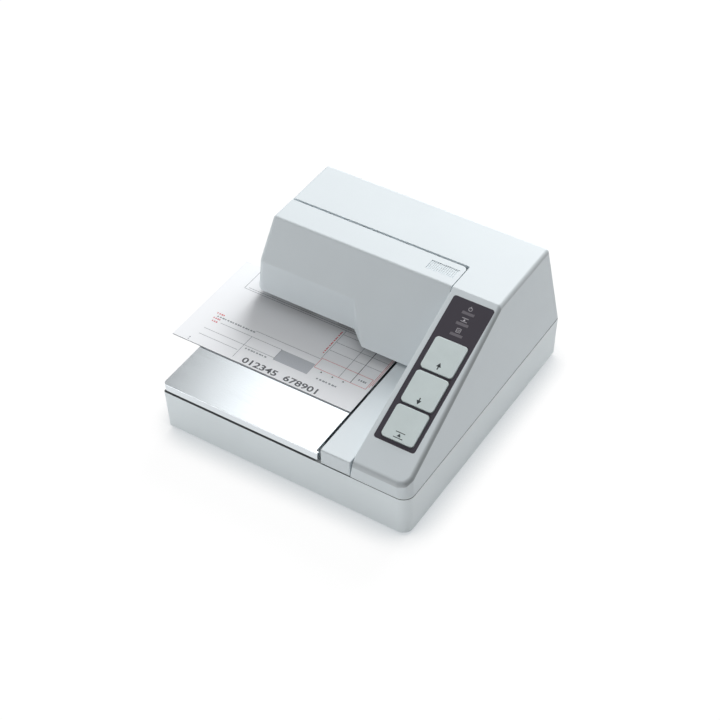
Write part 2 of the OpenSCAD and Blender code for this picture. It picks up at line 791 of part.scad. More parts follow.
module slip_table() color("#d9dde0") {
    r = 3;
    tab_x = frame_left - 2.5;
    back = throat_back - 0.6;
    low = table_z - table_lip;
    difference() {
        translate([0, 0, low]) linear_extrude(table_lip) {
            difference() {
                translate([table_left, table_front]) square([table_right - table_left, back - table_front]);
                translate([table_left - 1, table_front - 1]) square(r + 1);
            }
            translate([table_left + r, table_front + r]) circle(r);
            translate([table_left, back - eps]) square([tab_x - table_left, seam_y - back]);
        }
        // Hollow under the sheet, which leaves the front and left lips
        translate([0, 0, low - 1]) linear_extrude(table_lip - table_t + 1) {
            difference() {
                translate([table_left + table_t, table_front + table_t])
                    square([table_right - table_left, seam_y - table_front]);
                translate([table_left, table_front]) square(r);
            }
            translate([table_left + r, table_front + r]) circle(r - table_t);
        }
        span([sheet_right, table_front + table_strip, low - 1], [table_right + 1, seam_y, table_z + 1]);
        for (x = roller_places) span([x - roller_w / 2 - 1, feed_y - feed_roller_r, low],
            [x + roller_w / 2 + 1, feed_y + feed_roller_r, table_z + 1]);
        span([platen_left - 0.5, print_y - platen_d / 2 - 0.4, low], [platen_right + 0.5,
            print_y + platen_d / 2 + 0.3, table_z + 1]);
        for (x = finger_places) span([x - finger_w / 2 - 0.5, stopper_y - 0.4, low],
            [x + finger_w / 2 + 0.5, stopper_y + stopper_t + 0.5, table_z + 1]);
    }
}

module side_guide() color("#d8e0e4") {
    front = table_front - 0.2;
    r = 1;
    guide_wall = 1.8;
    difference() {
        side_profile(guide_left, guide_right) union() {
            translate([front, guide_low]) square([guide_back - front, guide_z - r - guide_low]);
            translate([front + r, guide_low]) square([guide_back - front - r, guide_z - guide_low]);
            translate([front + r, guide_z - r]) circle(r);
        }
        span([guide_left + guide_wall, front + guide_wall, guide_low - 1],
            [guide_right - guide_wall, guide_back - guide_wall, guide_z - guide_wall]);
    }
}

module paper_slip() color("#f7f8fa") translate([slip_left, slip_front, slip_z])
    cube([slip_w, slip_l, slip_t]);

// ---- Control panel ----

module control_panel() color("#48444a") difference() {
    on_slope(panel_x, panel_s, -panel_t) rounded_plate(panel_w, panel_l, panel_r, panel_t);
    for (s = key_places) on_slope(key_x, s, -5)
        rounded_plate(key_size + 2 * key_gap, key_size + 2 * key_gap, key_corner_r + key_gap, 10);
    for (s = lamp_places) on_slope(lamp_x, s, -5) rounded_plate(lamp_w + seat, lamp_h + seat, lamp_r, 10);
}

flange_h = wall + free + 0.1;
stem_h = flange_h + 2.4;
switch_top_h = stem_h + key_travel + 0.1;
board_face_h = switch_top_h + 3.4;

// A key cap with its flange under the case wall and its stem over a switch
module key_cap(s) color("#b8c6c6") {
    flange_t = 1;
    flange_w = key_size + 1.3;
    on_slope(key_x, s, -flange_h - eps)
        rounded_plate(key_size, key_size, key_corner_r, flange_h + key_proud + eps);
    on_slope(key_x, s, -flange_h - flange_t) rounded_plate(flange_w, flange_w, key_corner_r, flange_t);
    on_slope(key_x, s, -stem_h) cylinder(h = stem_h - flange_h - flange_t / 2, r = 2.4);
}

module forward_key() key_cap(key_places[0]);
module reverse_key() key_cap(key_places[1]);
module release_key() key_cap(key_places[2]);

module indicator_lenses() color("#77737a") for (s = lamp_places)
    on_slope(lamp_x, s, -board_face_h) rounded_plate(lamp_w, lamp_h, lamp_r, board_face_h);

board_mount_x = panel_w / 2 - 0.7;
board_mount_s = [panel_top_s + 1.5, panel_end_s - 1];

module panel_board() color("#2f6b45") difference() {
    on_slope(panel_x, panel_s, -board_face_h - board_t) rounded_plate(panel_w + 1, panel_l, 1, board_t);
    for (sx = [-1, 1]) for (s = board_mount_s)
        on_slope(panel_x + sx * board_mount_x, s, -board_face_h - board_t - 1) cylinder(h = 5, r = 0.7);
}

// Pegs under the slope that the panel board is pressed onto
module board_pegs() {
    for (sx = [-1, 1]) for (s = board_mount_s) on_slope(panel_x + sx * board_mount_x, s, -board_face_h) {
        cylinder(h = board_face_h - wall + 0.3, r = 1.3);
        translate([0, 0, -board_t]) cylinder(h = board_t + 1, r = 0.6);
    }
}

module key_switches() color("#2b2b2e") for (s = key_places) {
    on_slope(key_x, s, -board_face_h) rounded_plate(6, 6, 0.5, 2.9);
    on_slope(key_x, s, -board_face_h) cylinder(h = board_face_h - switch_top_h, r = 1.7);
}

// ---- Feet and screws ----

module rubber_feet() color("#2a2a2c") for (p = foot_places) translate([p[0], p[1], 0]) {
    rotate_extrude() {
        square([foot_r - 0.8, foot_h + foot_seat - 2 * eps]);
        translate([0, 0.8]) square([foot_r, foot_h + foot_seat - 0.8 - 2 * eps]);
        translate([foot_r - 0.8, 0.8]) circle(0.8);
    }
}

module case_screws() color("#8d9095") for (p = case_screw_places)
    translate([p[0], p[1], foot_h + screw_recess]) rotate([180, 0, 0]) screw(parting_z + 6 - foot_h);

module frame_screws() color("#8d9095") for (p = frame_posts)
    translate([p[0], p[1], frame_foot_z + plate_t]) screw(3.4);

// ---- Frame ----

under_table = table_z - table_t - free;
deck_front = throat_back + 0.4;

// Holes that both side plates share
module frame_holes() {
    for (h = [[feed_y, feed_z, feed_shaft_r], [main_shaft_y, main_shaft_z, guide_shaft_r],
        [rear_shaft_y, rear_shaft_z, rear_shaft_r], [pivot_y, pivot_z, pivot_r]])
        x_bar(frame_left - 5, frame_right + 5, h[0], h[1], h[2] + run_fit);
    // Slots that guide the ends of the form stopper
    span([frame_left - 5, stopper_y - free, stopper_bar_z - free],
        [frame_right + 5, stopper_y + stopper_t + free, stopper_bar_z + 3 + stopper_travel + free]);
}

module frame_tab(x0, x1, y) {
    difference() {
        span([x0, y - 6, frame_foot_z], [x1, y + 6, frame_foot_z + plate_t]);
        for (p = frame_posts) translate([p[0], p[1], 0]) cylinder(h = top_z, r = screw_r + 0.2);
    }
}

module left_side_plate() color("#aeb2b6") {
    low_rear = board_y - 3;
    difference() {
        union() {
            side_profile(frame_left, plate_in_left) polygon([[frame_front, frame_foot_z],
                [low_rear, frame_foot_z], [low_rear, deck_z - 4], [deck_rear, deck_z - 4],
                [deck_rear, frame_top - 8], [deck_rear - 10, frame_top], [arm_front, frame_top],
                [arm_front, cover_z + 1.5], [throat_back, cover_z + 1.5], [throat_back, under_table],
                [frame_front, under_table]]);
            for (y = eye_places) hinge_eye(y);
            span([plate_in_left - eps, spring_y - 2.5, spring_top_z], [plate_in_left + 3.3, spring_y + 2.5,
                spring_top_z + 1.2]);
        }
        frame_holes();
        y_bar(hinge_x, hinge_front_y, hinge_rear_y, hinge_z, cover_pin_r + seat / 2);
    }
    for (y = frame_foot_ys) frame_tab(plate_in_left - eps, left_foot_x + 5, y);
}

arm_front = hinge_front_y + knuckle_w + 0.6;
eye_w = 3;
eye_places = [arm_front, hinge_rear_y - knuckle_w - 0.6 - eye_w];

// An eye that reaches out from the left plate to the cover's hinge pin
module hinge_eye(y) {
    y_bar(hinge_x, y, y + eye_w, hinge_z, cover_pin_r + 0.9);
    span([hinge_x, y, hinge_z - 1.3], [frame_left + eps, y + eye_w, hinge_z + 1.6]);
}

module right_side_plate() color("#aeb2b6") {
    low_rear = board_y - 3;
    out = frame_right + plate_t;
    difference() {
        union() {
            side_profile(frame_right, out) polygon([[frame_front, frame_foot_z], [low_rear, frame_foot_z],
                [low_rear, deck_z], [deck_rear, deck_z], [deck_rear, frame_top - 8],
                [deck_rear - 10, frame_top], [arm_front, frame_top], [frame_front, frame_top - 12]]);
            span([frame_right - 3.6, spring_y - 2.5, spring_top_z], [frame_right + eps, spring_y + 2.5,
                spring_top_z + 1.2]);
        }
        frame_holes();
        x_bar(frame_right - 1, out + 1, idler_y, idler_z, 1.5 + seat / 2);
        x_bar(frame_right - 1, out + 1, pinion_y, pinion_z, 2);
    }
    for (y = frame_foot_ys) frame_tab(out - eps, right_foot_x + 5, y);
}

module frame_deck() color("#9ea3a8") difference() {
    span([plate_in_left, deck_front, deck_z], [frame_right, deck_rear, deck_z + deck_t]);
    translate([tail_x, tail_y, deck_z - 1]) cylinder(h = 5, r = plunger_r + 0.5);
    translate([motor_x, belt_y, deck_z - 1]) cylinder(h = 5, r = 4);
    translate([idler_pulley_x, belt_y, deck_z - 1]) cylinder(h = 5, r = stud_r + seat / 2);
}

module rear_stay() color("#9ea3a8")
    span([plate_in_left, deck_rear - plate_t, deck_z + deck_t], [frame_right, deck_rear, frame_top - 9]);

module platen() color("#55585c") {
    low = under_table - 7;
    span([plate_in_left, print_y - platen_d / 2 + 1, low], [frame_right, print_y + platen_d / 2 - 1,
        under_table - 1]);
    span([platen_left, print_y - platen_d / 2, under_table - 1.5], [platen_right, print_y + platen_d / 2,
        table_z]);
}

platen_left = cassette_left + arm_w - 2;
platen_right = sheet_right - 2.7;

// ---- Carriage, head and drive ----

module carriage_guide_shaft() color("#c9ccd0")
    x_bar(frame_left - 1, frame_right + plate_t + 0.6, main_shaft_y, main_shaft_z, guide_shaft_r);

module rear_guide_shaft() color("#c9ccd0")
    x_bar(frame_left - 1, frame_right + plate_t + 0.6, rear_shaft_y, rear_shaft_z, rear_shaft_r);

belt_t = 1.2;
belt_front = belt_y - pulley_r - belt_t / 2;
sleeve_r = guide_shaft_r + 2.4;
cradle_front = print_y - head_r - 3.4;
head_screw_x = 8.4;
head_screw_y = cradle_front + 3;
head_flange_t = 1.5;

module head_carriage() color("#3a3c40") {
    left = head_x - carriage_w / 2;
    right = head_x + carriage_w / 2;
    back = belt_front + 2.6;
    top = rear_shaft_z + rear_shaft_r + 2;
    difference() {
        union() {
            x_bar(left, right, main_shaft_y, main_shaft_z, sleeve_r);
            side_profile(left + 2, right - 2) polygon([[main_shaft_y - 3, carriage_z], [back, carriage_z],
                [back, top], [main_shaft_y + 4, top], [main_shaft_y - 3, main_shaft_z + 4]]);
            span([left, cradle_front, cradle_z], [right, main_shaft_y, cradle_z + cradle_t]);
            for (x = [left, right - 1.6]) side_profile(x, x + 1.6) polygon([[cradle_front, cradle_z],
                [main_shaft_y, cradle_z - 1.5], [main_shaft_y, main_shaft_z + 4], [main_shaft_y - 6,
                cradle_z + cradle_t], [cradle_front, cradle_z + cradle_t]]);
        }
        x_bar(left - 1, right + 1, main_shaft_y, main_shaft_z, guide_shaft_r + run_fit);
        x_bar(left - 1, right + 1, rear_shaft_y, rear_shaft_z, rear_shaft_r + run_fit);
        span([left - 1, rear_shaft_y, rear_shaft_z - rear_shaft_r - run_fit], [right + 1, back + 1,
            rear_shaft_z + rear_shaft_r + run_fit]);
        span([left - 1, belt_front - belt_t / 2 - 0.5, carriage_z - 1],
            [right + 1, belt_front + belt_t / 2 + 0.5, belt_z + belt_w / 2 + 0.5]);
        translate([head_x, print_y, cradle_z - 1]) cylinder(h = cradle_t + 2, r = nose_r + 0.6);
        for (sx = [-1, 1]) translate([head_x + sx * head_screw_x, head_screw_y, cradle_z - 1])
            cylinder(h = cradle_t + 2, r = screw_r + seat / 2);
        span([head_x - 6, cradle_front - 1, cradle_z - 1],
            [head_x + 6, cradle_front + 3, cradle_z + cradle_t + 1]);
        // Room for the head's round body behind the flange
        translate([head_x, print_y, cradle_z + cradle_t]) cylinder(h = head_h + 2, r = head_r + free);
    }
}

nose_r = 4.8;
nose_tip_z = ribbon_z + ribbon_t + 0.35;

module print_head() color("#6d7176") {
    base = cradle_z + cradle_t;
    difference() {
        union() {
            span([head_x - carriage_w / 2 + 0.5, cradle_front + 0.3, base], [head_x + carriage_w / 2 - 0.5,
                print_y, base + head_flange_t]);
            translate([head_x, print_y, base]) cylinder(h = head_h, r = head_r - 1.8);
            for (i = [0 : 3]) translate([head_x, print_y, base + 1 + i * (head_h - 2.2) / 3.4])
                cylinder(h = 1.6, r = head_r);
        }
        for (sx = [-1, 1]) translate([head_x + sx * head_screw_x, head_screw_y, base - 1])
            cylinder(h = 4, r = screw_r + seat / 2);
    }
    translate([head_x, print_y, nose_tip_z + 1.6])
        cylinder(h = base - nose_tip_z - 1.6 + eps, r1 = 2.4, r2 = nose_r);
    span([head_x - 1.5, print_y - 2.4, nose_tip_z], [head_x + 1.5, print_y + 2.4, nose_tip_z + 2]);
}

module head_screws() color("#c3c6ca") for (sx = [-1, 1])
    translate([head_x + sx * head_screw_x, head_screw_y, cradle_z + cradle_t + head_flange_t])
        screw(head_flange_t + cradle_t + 0.5);

module belt_loop(r) {
    translate([idler_pulley_x, belt_y - r]) square([motor_x - idler_pulley_x, 2 * r]);
    for (x = [idler_pulley_x, motor_x]) translate([x, belt_y]) circle(r);
}

module timing_belt() color("#1f1f21") translate([0, 0, belt_z - belt_w / 2])
    linear_extrude(belt_w) difference() {
        belt_loop(pulley_r + run_fit + belt_t);
        belt_loop(pulley_r + run_fit);
    }

// A belt pulley with a flange above and below the belt, on the axis through x
module pulley_body(x) {
    translate([x, belt_y, belt_z - belt_w / 2 - 1.1]) cylinder(h = 0.8, r = pulley_r + 1);
    translate([x, belt_y, belt_z - belt_w / 2 - 0.5]) cylinder(h = belt_w + 1, r = pulley_r);
    translate([x, belt_y, belt_z + belt_w / 2 + 0.3]) cylinder(h = 0.8, r = pulley_r + 1);
}

motor_r = 14;
motor_h = 20;
motor_shaft_r = 1.5;
stud_r = 1.5;

module drive_pulley() color("#d0d2d5") {
    pulley_body(motor_x);
    translate([motor_x, belt_y, deck_z - 8])
        cylinder(h = belt_z + belt_w / 2 + 2 - deck_z + 8, r = motor_shaft_r);
}

module idler_pulley() color("#e6e6e3") difference() {
    pulley_body(idler_pulley_x);
    translate([idler_pulley_x, belt_y, deck_z]) cylinder(h = 30, r = stud_r + run_fit);
}

module idler_stud() color("#b9bcc0") translate([idler_pulley_x, belt_y, deck_z]) {
    cylinder(h = belt_z + belt_w / 2 + 1.4 - deck_z, r = stud_r);
    translate([0, 0, deck_t]) cylinder(h = belt_z - belt_w / 2 - 1.4 - deck_z - deck_t, r = stud_r + 1);
    translate([0, 0, belt_z + belt_w / 2 + 1.4 - deck_z]) cylinder(h = 0.8, r = stud_r + 1);
}

module carriage_motor() color("#8f9297") difference() {
    union() {
        translate([motor_x, belt_y, deck_z - motor_h]) cylinder(h = motor_h - 1.2, r = motor_r);
        translate([motor_x - motor_r, belt_y - 5, deck_z - 1.2]) cube([2 * motor_r, 10, 1.2]);
        translate([motor_x, belt_y, deck_z - 2]) cylinder(h = 2 + deck_t, r = 3.8);
    }
    translate([motor_x, belt_y, deck_z - 9]) cylinder(h = 20, r = motor_shaft_r + run_fit);
}

// ---- Ribbon ----

cassette_low = slip_top + 0.6;
ear_t = 2;

module ribbon_cassette() color("#26272a") difference() {
    union() {
        translate([0, cassette_front + cassette_d, 0]) rotate([90, 0, 0]) linear_extrude(cassette_d) {
            x_mid = (cassette_left + cassette_right) / 2;
            difference() {
                translate([x_mid, (cassette_low + cassette_top) / 2])
                    rounded_rect(cassette_right - cassette_left, cassette_top - cassette_low, 3);
                translate([cassette_left + arm_w, cassette_low - 5]) square([cassette_right - cassette_left
                    - 2 * arm_w, cassette_top - cassette_body_h - cassette_low + 5]);
            }
        }
        // Ears that rest on the side plates
        for (e = [[frame_left - 0.6, cassette_left + 1], [cassette_right - 1, frame_right + plate_t + 0.6]])
            span([e[0], cassette_front + 3, frame_top],
                [e[1], cassette_front + cassette_d - 3, frame_top + ear_t]);
        // Raised panel and wind mark ring on the front
        span([cassette_left + 14, cassette_front - 0.8, cassette_top - cassette_body_h + 2],
            [cassette_right - 14, cassette_front + 1, cassette_top - 3.4]);
    }
    y_bar(spindle_x, cassette_front - 5, cassette_front + cassette_d + 5, spindle_z, spindle_r + free);
}

module ink_ribbon() color("#17171a") span([cassette_left + arm_w, print_y - ribbon_w / 2, ribbon_z],
    [cassette_right - arm_w, print_y + ribbon_w / 2, ribbon_z + ribbon_t]);

spindle_r = 2;
bracket_y = pivot_y - 0.6;

module ribbon_knob() color("#35363a") {
    knob_r = 4.2;
    y0 = cassette_front - 3.4;
    difference() {
        union() {
            y_bar(spindle_x, y0, cassette_front - free, spindle_z, knob_r - 0.4);
            for (a = [0 : 30 : 330]) translate([spindle_x, 0, spindle_z]) rotate([0, a, 0])
                span([-0.6, y0, knob_r - 1.2], [0.6, cassette_front - free, knob_r]);
        }
        y_bar(spindle_x, y0 + 0.8, cassette_front + 5, spindle_z, spindle_r + 0.02);
    }
}

module ribbon_spindle() color("#c9ccd0") {
    y_bar(spindle_x, cassette_front - 2.2, bracket_y + 3, spindle_z, spindle_r);
    back = cassette_front + cassette_d;
    y_bar(spindle_x, back + 0.5, back + 2, spindle_z, spindle_r + 1);
}

module spindle_bracket() color("#aeb2b6") difference() {
    union() {
        for (b = [[spindle_x - 4, bracket_y], [frame_right - 1.2, bracket_y - 3]])
            span([b[0], b[1], spindle_z - 4.4], [frame_right, bracket_y + 1.5, spindle_z + 4.4]);
    }
    y_bar(spindle_x, bracket_y - 1, bracket_y + 3, spindle_z, spindle_r + run_fit);
}

// ---- Feed rollers and gears ----

held = 0.02;

module feed_shaft() color("#c9ccd0")
    x_bar(frame_left - 1.2, gear_x + gear_w + 0.8, feed_y, feed_z, feed_shaft_r);

module feed_rollers() color("#2d2e31") for (x = roller_places)
    x_tube(x - roller_w / 2, x + roller_w / 2, feed_y, feed_z, feed_roller_r, feed_shaft_r + held);

middle_tooth_a = idler_a + 180 + 180 / idler_teeth;
pinion_tooth_a = pinion_a + 180 - 180 / pinion_teeth
    - (middle_tooth_a - pinion_a) * idler_teeth / pinion_teeth;

module feed_gear() color("#eceae2")
    x_gear(gear_x, feed_y, feed_z, feed_teeth, idler_a, feed_shaft_r + held);

module middle_gear() color("#eceae2")
    x_gear(gear_x, idler_y, idler_z, idler_teeth, middle_tooth_a, stud_r + run_fit);

module middle_gear_stud() color("#b9bcc0") {
    x_bar(frame_right + 0.2, gear_x + gear_w + 0.4, idler_y, idler_z, stud_r);
    x_bar(gear_x + gear_w + 0.3, gear_x + gear_w + 1, idler_y, idler_z, stud_r + 0.9);
}

module motor_pinion() color("#c8b273") {
    x_gear(gear_x, pinion_y, pinion_z, pinion_teeth, pinion_tooth_a, 0.6);
    x_bar(frame_right - 6, gear_x + gear_w, pinion_y, pinion_z, 1.2);
}

module feed_motor() color("#8f9297") difference() {
    x_bar(frame_right - feed_motor_l, frame_right, pinion_y, pinion_z, feed_motor_r);
    x_bar(frame_right - 8, frame_right + 1, pinion_y, pinion_z, 1.2 + run_fit);
}

// ---- Release ----

pinch_arm_low = slip_top + 1.1;
pinch_arm_top = pinch_z + 2.6;
pinch_arm_front = feed_y - 2.6;
cross_low = deck_z + deck_t + 2;
plunger_r = 3;
plunger_neck_r = 1.4;
tail_t = 1.5;

module pinch_frame() color("#b4b8bc") difference() {
    union() {
        for (x = [pinch_left_x, pinch_right_x]) side_profile(x, x + pinch_arm_t) polygon([
            [pinch_arm_front, pinch_arm_low], [pivot_y - 6, pinch_arm_low], [pivot_y - 2, cross_low],
            [pivot_y + 2.6, cross_low], [pivot_y + 2.6, pinch_arm_top], [pinch_arm_front, pinch_arm_top]]);
        span([pinch_left_x, pivot_y - 1, cross_low],
            [pinch_right_x + pinch_arm_t, pivot_y + 1.5, pivot_z - 0.5]);
        span([tail_x - tail_w / 2, pivot_y, cross_low],
            [tail_x + tail_w / 2, tail_y + 3.4, cross_low + tail_t]);
        x_bar(frame_left - 0.8, pinch_left_x + eps, pivot_y, pivot_z, pivot_r);
        x_bar(pinch_right_x + pinch_arm_t - eps, frame_right + plate_t + 0.8, pivot_y, pivot_z, pivot_r);
    }
    x_bar(pinch_left_x - 1, pinch_right_x + 5, feed_y, pinch_z, pinch_shaft_r + run_fit);
    translate([tail_x, tail_y, cross_low - 1]) cylinder(h = tail_t + 2, r = plunger_neck_r + 0.7);
}

module pinch_shaft() color("#c9ccd0")
    x_bar(pinch_left_x - 0.5, pinch_right_x + pinch_arm_t + 0.5, feed_y, pinch_z, pinch_shaft_r);

module pinch_rollers() color("#2d2e31") for (x = roller_places)
    x_tube(x - roller_w / 2, x + roller_w / 2, feed_y, pinch_z, pinch_roller_r, pinch_shaft_r + held);

spring_y = print_y - 4;
spring_top_z = pinch_arm_top + 7;
spring_r = 1.3;
spring_wire_r = 0.25;
spring_turns = 5;

// A coil of round wire about the Z axis, from z = 0 to h, as rings of six points
module coil(r, wire, turns, h) {
    steps = 8 * turns;
    sides = 6;
    rings = [for (i = [0 : steps]) let (a = 360 * turns * i / steps, z = wire + (h - 2 * wire) * i / steps)
        for (k = [0 : sides - 1]) let (b = 360 * k / sides)
            [(r + wire * cos(b)) * cos(a), (r + wire * cos(b)) * sin(a), z + wire * sin(b)]];
    walls = [for (i = [0 : steps - 1]) for (k = [0 : sides - 1]) let (n = (k + 1) % sides, p = i * sides)
        for (t = [[p + k, p + sides + k, p + n], [p + n, p + sides + k, p + sides + n]]) t];
    start = [for (k = [1 : sides - 2]) [0, k, k + 1]];
    finish = [for (k = [1 : sides - 2]) [steps * sides, steps * sides + k + 1, steps * sides + k]];
    polyhedron(rings, concat(walls, start, finish));
}

module pinch_springs() color("#c9ccd0")
    for (x = [pinch_left_x + pinch_arm_t / 2, pinch_right_x + pinch_arm_t / 2])
        translate([x, spring_y, pinch_arm_top + seat]) coil(spring_r, spring_wire_r, spring_turns,
            spring_top_z - pinch_arm_top - 2 * seat);

module form_stopper() color("#b4b8bc") {
    span([frame_left - 0.3, stopper_y, stopper_bar_z], [frame_right + plate_t + 0.3, stopper_y + stopper_t,
        stopper_bar_z + 3]);
    for (x = finger_places) span([x - finger_w / 2, stopper_y, stopper_bar_z + 3 - eps], [x + finger_w / 2,
        stopper_y + stopper_t, stopper_top]);
}

solenoid_l = 20;
solenoid_half = 9;

module release_solenoid() color("#8f9297") difference() {
    span([tail_x - solenoid_half, tail_y - solenoid_half, deck_z - solenoid_l], [tail_x + solenoid_half,
        tail_y + solenoid_half, deck_z]);
    translate([tail_x, tail_y, deck_z - solenoid_l + 2]) cylinder(h = solenoid_l, r = plunger_r + run_fit);
    // Windows in the yoke that show the coil
    for (sx = [-1, 1]) translate([tail_x + sx * (solenoid_half + 1), tail_y, deck_z])
        span([-2.2, -6, 2.5 - solenoid_l], [2.2, 6, -2.5]);
}

module solenoid_plunger() color("#c9ccd0") translate([tail_x, tail_y, 0]) {
    translate([0, 0, deck_z - 12]) cylinder(h = cross_low - free - deck_z + 12, r = plunger_r);
    translate([0, 0, deck_z]) cylinder(h = cross_low + tail_t + 0.4 - deck_z, r = plunger_neck_r);
    translate([0, 0, cross_low + tail_t + 0.25]) cylinder(h = 0.9, r = plunger_r);
}

// ---- Boards and rear sockets ----

module main_board() color("#2f6b45") difference() {
    span([board_left, board_y, board_z], [board_right, board_y + board_d, board_z + board_t]);
    for (p = board_posts) translate([p[0], p[1], 0]) cylinder(h = 30, r = 1.3);
}

// Plain blocks on the main board: x, y, width, depth and height from its front left corner
board_blocks = [[20, 8, 18, 14, 2.4], [46, 6, 14, 10, 2], [78, 24, 10, 10, 3.2], [64, 1, 22, 4, 5]];

module board_parts() color("#2b2b2e") translate([board_left, board_y, board_z + board_t]) {
    for (b = board_blocks) translate([b[0], b[1], 0]) cube([b[2], b[3], b[4]]);
    for (i = [0 : 1]) translate([98 + 10 * i, 33, 0]) cylinder(h = 4.6, r = 4);
    for (i = [0 : 4]) translate([8 + 7 * i, 25, 0]) cube([5, 3, 1.6]);
}

// Outline of a 25-way data socket's shell, wide side up, drawn out by grow
module shell_outline(grow) {
    w = 38.4 / 2 + grow;
    h = 8 / 2 + grow;
    slant = 1.4;
    r = 2.4;
    difference() {
        polygon([[-w, h], [w, h], [w - slant, -h], [-w + slant, -h]]);
        for (sx = [-1, 1]) translate([sx * (w - 0.2), h]) rotate(45) square(r, center = true);
        for (sx = [-1, 1]) translate([sx * (w - slant - 0.2), -h]) rotate(45) square(r, center = true);
    }
}

module data_cutout() {
    span([data_x - 29, rear_y - 9, data_z - 7.2], [data_x + 29, rear_y + 5, data_z + 7.2]);
}

module data_connector() color("#c3c6ca") difference() {
    union() {
        span([data_x - 26.5, flange_y - 1, data_z - 6.3], [data_x + 26.5, flange_y, data_z + 6.3]);
        span([data_x - 20, flange_y - 8, board_z + board_t],
            [data_x + 20, flange_y - 1 + eps, data_z + 4.6]);
        translate([data_x, flange_y - eps, data_z]) rotate([90, 0, 0]) mirror([0, 0, 1]) {
            linear_extrude(5.2) difference() {
                shell_outline(0);
                shell_outline(-0.6);
            }
            linear_extrude(4.4) shell_outline(-0.9);
        }
    }
    for (row = [[13, 1.4, 0], [12, -1.4, 0.5]]) for (i = [0 : row[0] - 1])
        translate([data_x + (i - 6 + row[2]) * 2.77, flange_y - 3, data_z + row[1]]) rotate([-90, 0, 0])
            cylinder(h = 10, r = 0.55, $fn = 8);
    for (sx = [-1, 1]) y_bar(data_x + sx * jack_pitch / 2, flange_y - 3, flange_y + 1, data_z, 1.6);
}

module jack_posts() color("#d0cdc2") for (sx = [-1, 1]) difference() {
    union() {
        translate([data_x + sx * jack_pitch / 2, flange_y, data_z]) rotate([-90, 0, 0])
            cylinder(h = jack_l, r = 2.7, $fn = 6);
        y_bar(data_x + sx * jack_pitch / 2, flange_y - 3, flange_y + eps, data_z, 1.5);
    }
    y_bar(data_x + sx * jack_pitch / 2, flange_y - 1, flange_y + jack_l + 1, data_z, jack_hole_r);
}

jack_l = 5;

module power_inlet() color("#2b2b2e") difference() {
    union() {
        y_bar(inlet_x, socket_face_y - 12, socket_face_y, inlet_z, inlet_r);
        span([inlet_x - inlet_r, socket_face_y - 12, board_z + board_t], [inlet_x + inlet_r,
            rear_y - 6, inlet_z]);
    }
    y_bar(inlet_x, socket_face_y - 8, socket_face_y + 1, inlet_z, inlet_r - 1.6);
}

module ground_screw() color("#c3c6ca")
    translate([ground_x, ground_seat_y + eps, inlet_z]) rotate([-90, 0, 0]) screw(5);

rocker_r = 7.4;
rocker_w = 9;
rocker_pin_r = 0.8;
rocker_x = -half_w + 5.6;

module power_switch() color("#2b2b2e") {
    face = -half_w + 1.2;
    difference() {
        span([face, switch_y - switch_l / 2 + 0.2, switch_z - switch_h / 2 + 0.2],
            [face + switch_deep, switch_y + switch_l / 2 - 0.2, switch_z + switch_h / 2 - 0.2]);
        translate([rocker_x, switch_y, switch_z - rocker_w / 2 - free])
            cylinder(h = rocker_w + 2 * free, r = rocker_r + free);
        span([face - 1, switch_y - rocker_r - free, switch_z - rocker_w / 2 - free],
            [rocker_x, switch_y + rocker_r + free, switch_z + rocker_w / 2 + free]);
        translate([rocker_x, switch_y, switch_z - rocker_w / 2 - 1])
            cylinder(h = rocker_w + 2, r = rocker_pin_r + run_fit);
    }
}

// A rocker with two faces that meet over its pivot, tipped to its off side
module power_rocker() color("#3a3b3f") translate([rocker_x, switch_y, switch_z]) {
    translate([0, 0, -rocker_w / 2]) linear_extrude(rocker_w) rotate(rocker_tilt / 2) intersection() {
        circle(rocker_r);
        polygon([[3, -9], [3, 9], [-5.2, 9], [-4, 0], [-5.2, -9]]);
    }
    translate([0, 0, -rocker_w / 2 - 0.8]) cylinder(h = rocker_w + 1.6, r = rocker_pin_r);
}

centred() lower_case();
centred() upper_case();
centred() ribbon_cover();
centred() cover_hinge_pin();
centred() slip_table();
centred() side_guide();
centred() control_panel();
centred() forward_key();
centred() reverse_key();
centred() release_key();
centred() indicator_lenses();
centred() panel_board();
centred() key_switches();
centred() rubber_feet();
centred() case_screws();
centred() left_side_plate();
centred() right_side_plate();
centred() frame_deck();
centred() rear_stay();
centred() frame_screws();
centred() platen();
centred() carriage_guide_shaft();
centred() rear_guide_shaft();
centred() head_carriage();
centred() print_head();
centred() head_screws();
centred() timing_belt();
centred() drive_pulley();
centred() idler_pulley();
centred() idler_stud();
centred() carriage_motor();
centred() ribbon_cassette();
centred() ink_ribbon();
centred() ribbon_knob();
centred() ribbon_spindle();
centred() spindle_bracket();
centred() feed_shaft();
centred() feed_rollers();
centred() feed_gear();
centred() middle_gear();
centred() middle_gear_stud();
centred() feed_motor();
centred() motor_pinion();
centred() pinch_frame();
centred() pinch_shaft();
centred() pinch_rollers();
centred() pinch_springs();
centred() form_stopper();
centred() release_solenoid();
centred() solenoid_plunger();
centred() main_board();
centred() board_parts();
centred() data_connector();
centred() jack_posts();
centred() power_inlet();
centred() ground_screw();
centred() power_switch();
centred() power_rocker();
centred() paper_slip();
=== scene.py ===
"""Looks of the flat-bed dot matrix slip printer, laid out as a Blender add-on and run as a script."""

import json
from math import atan, pi, radians

import bmesh
import bpy
from bpy.props import FloatProperty, FloatVectorProperty, PointerProperty
from bpy.types import Operator, Panel, PropertyGroup
from mathutils import Matrix, Vector


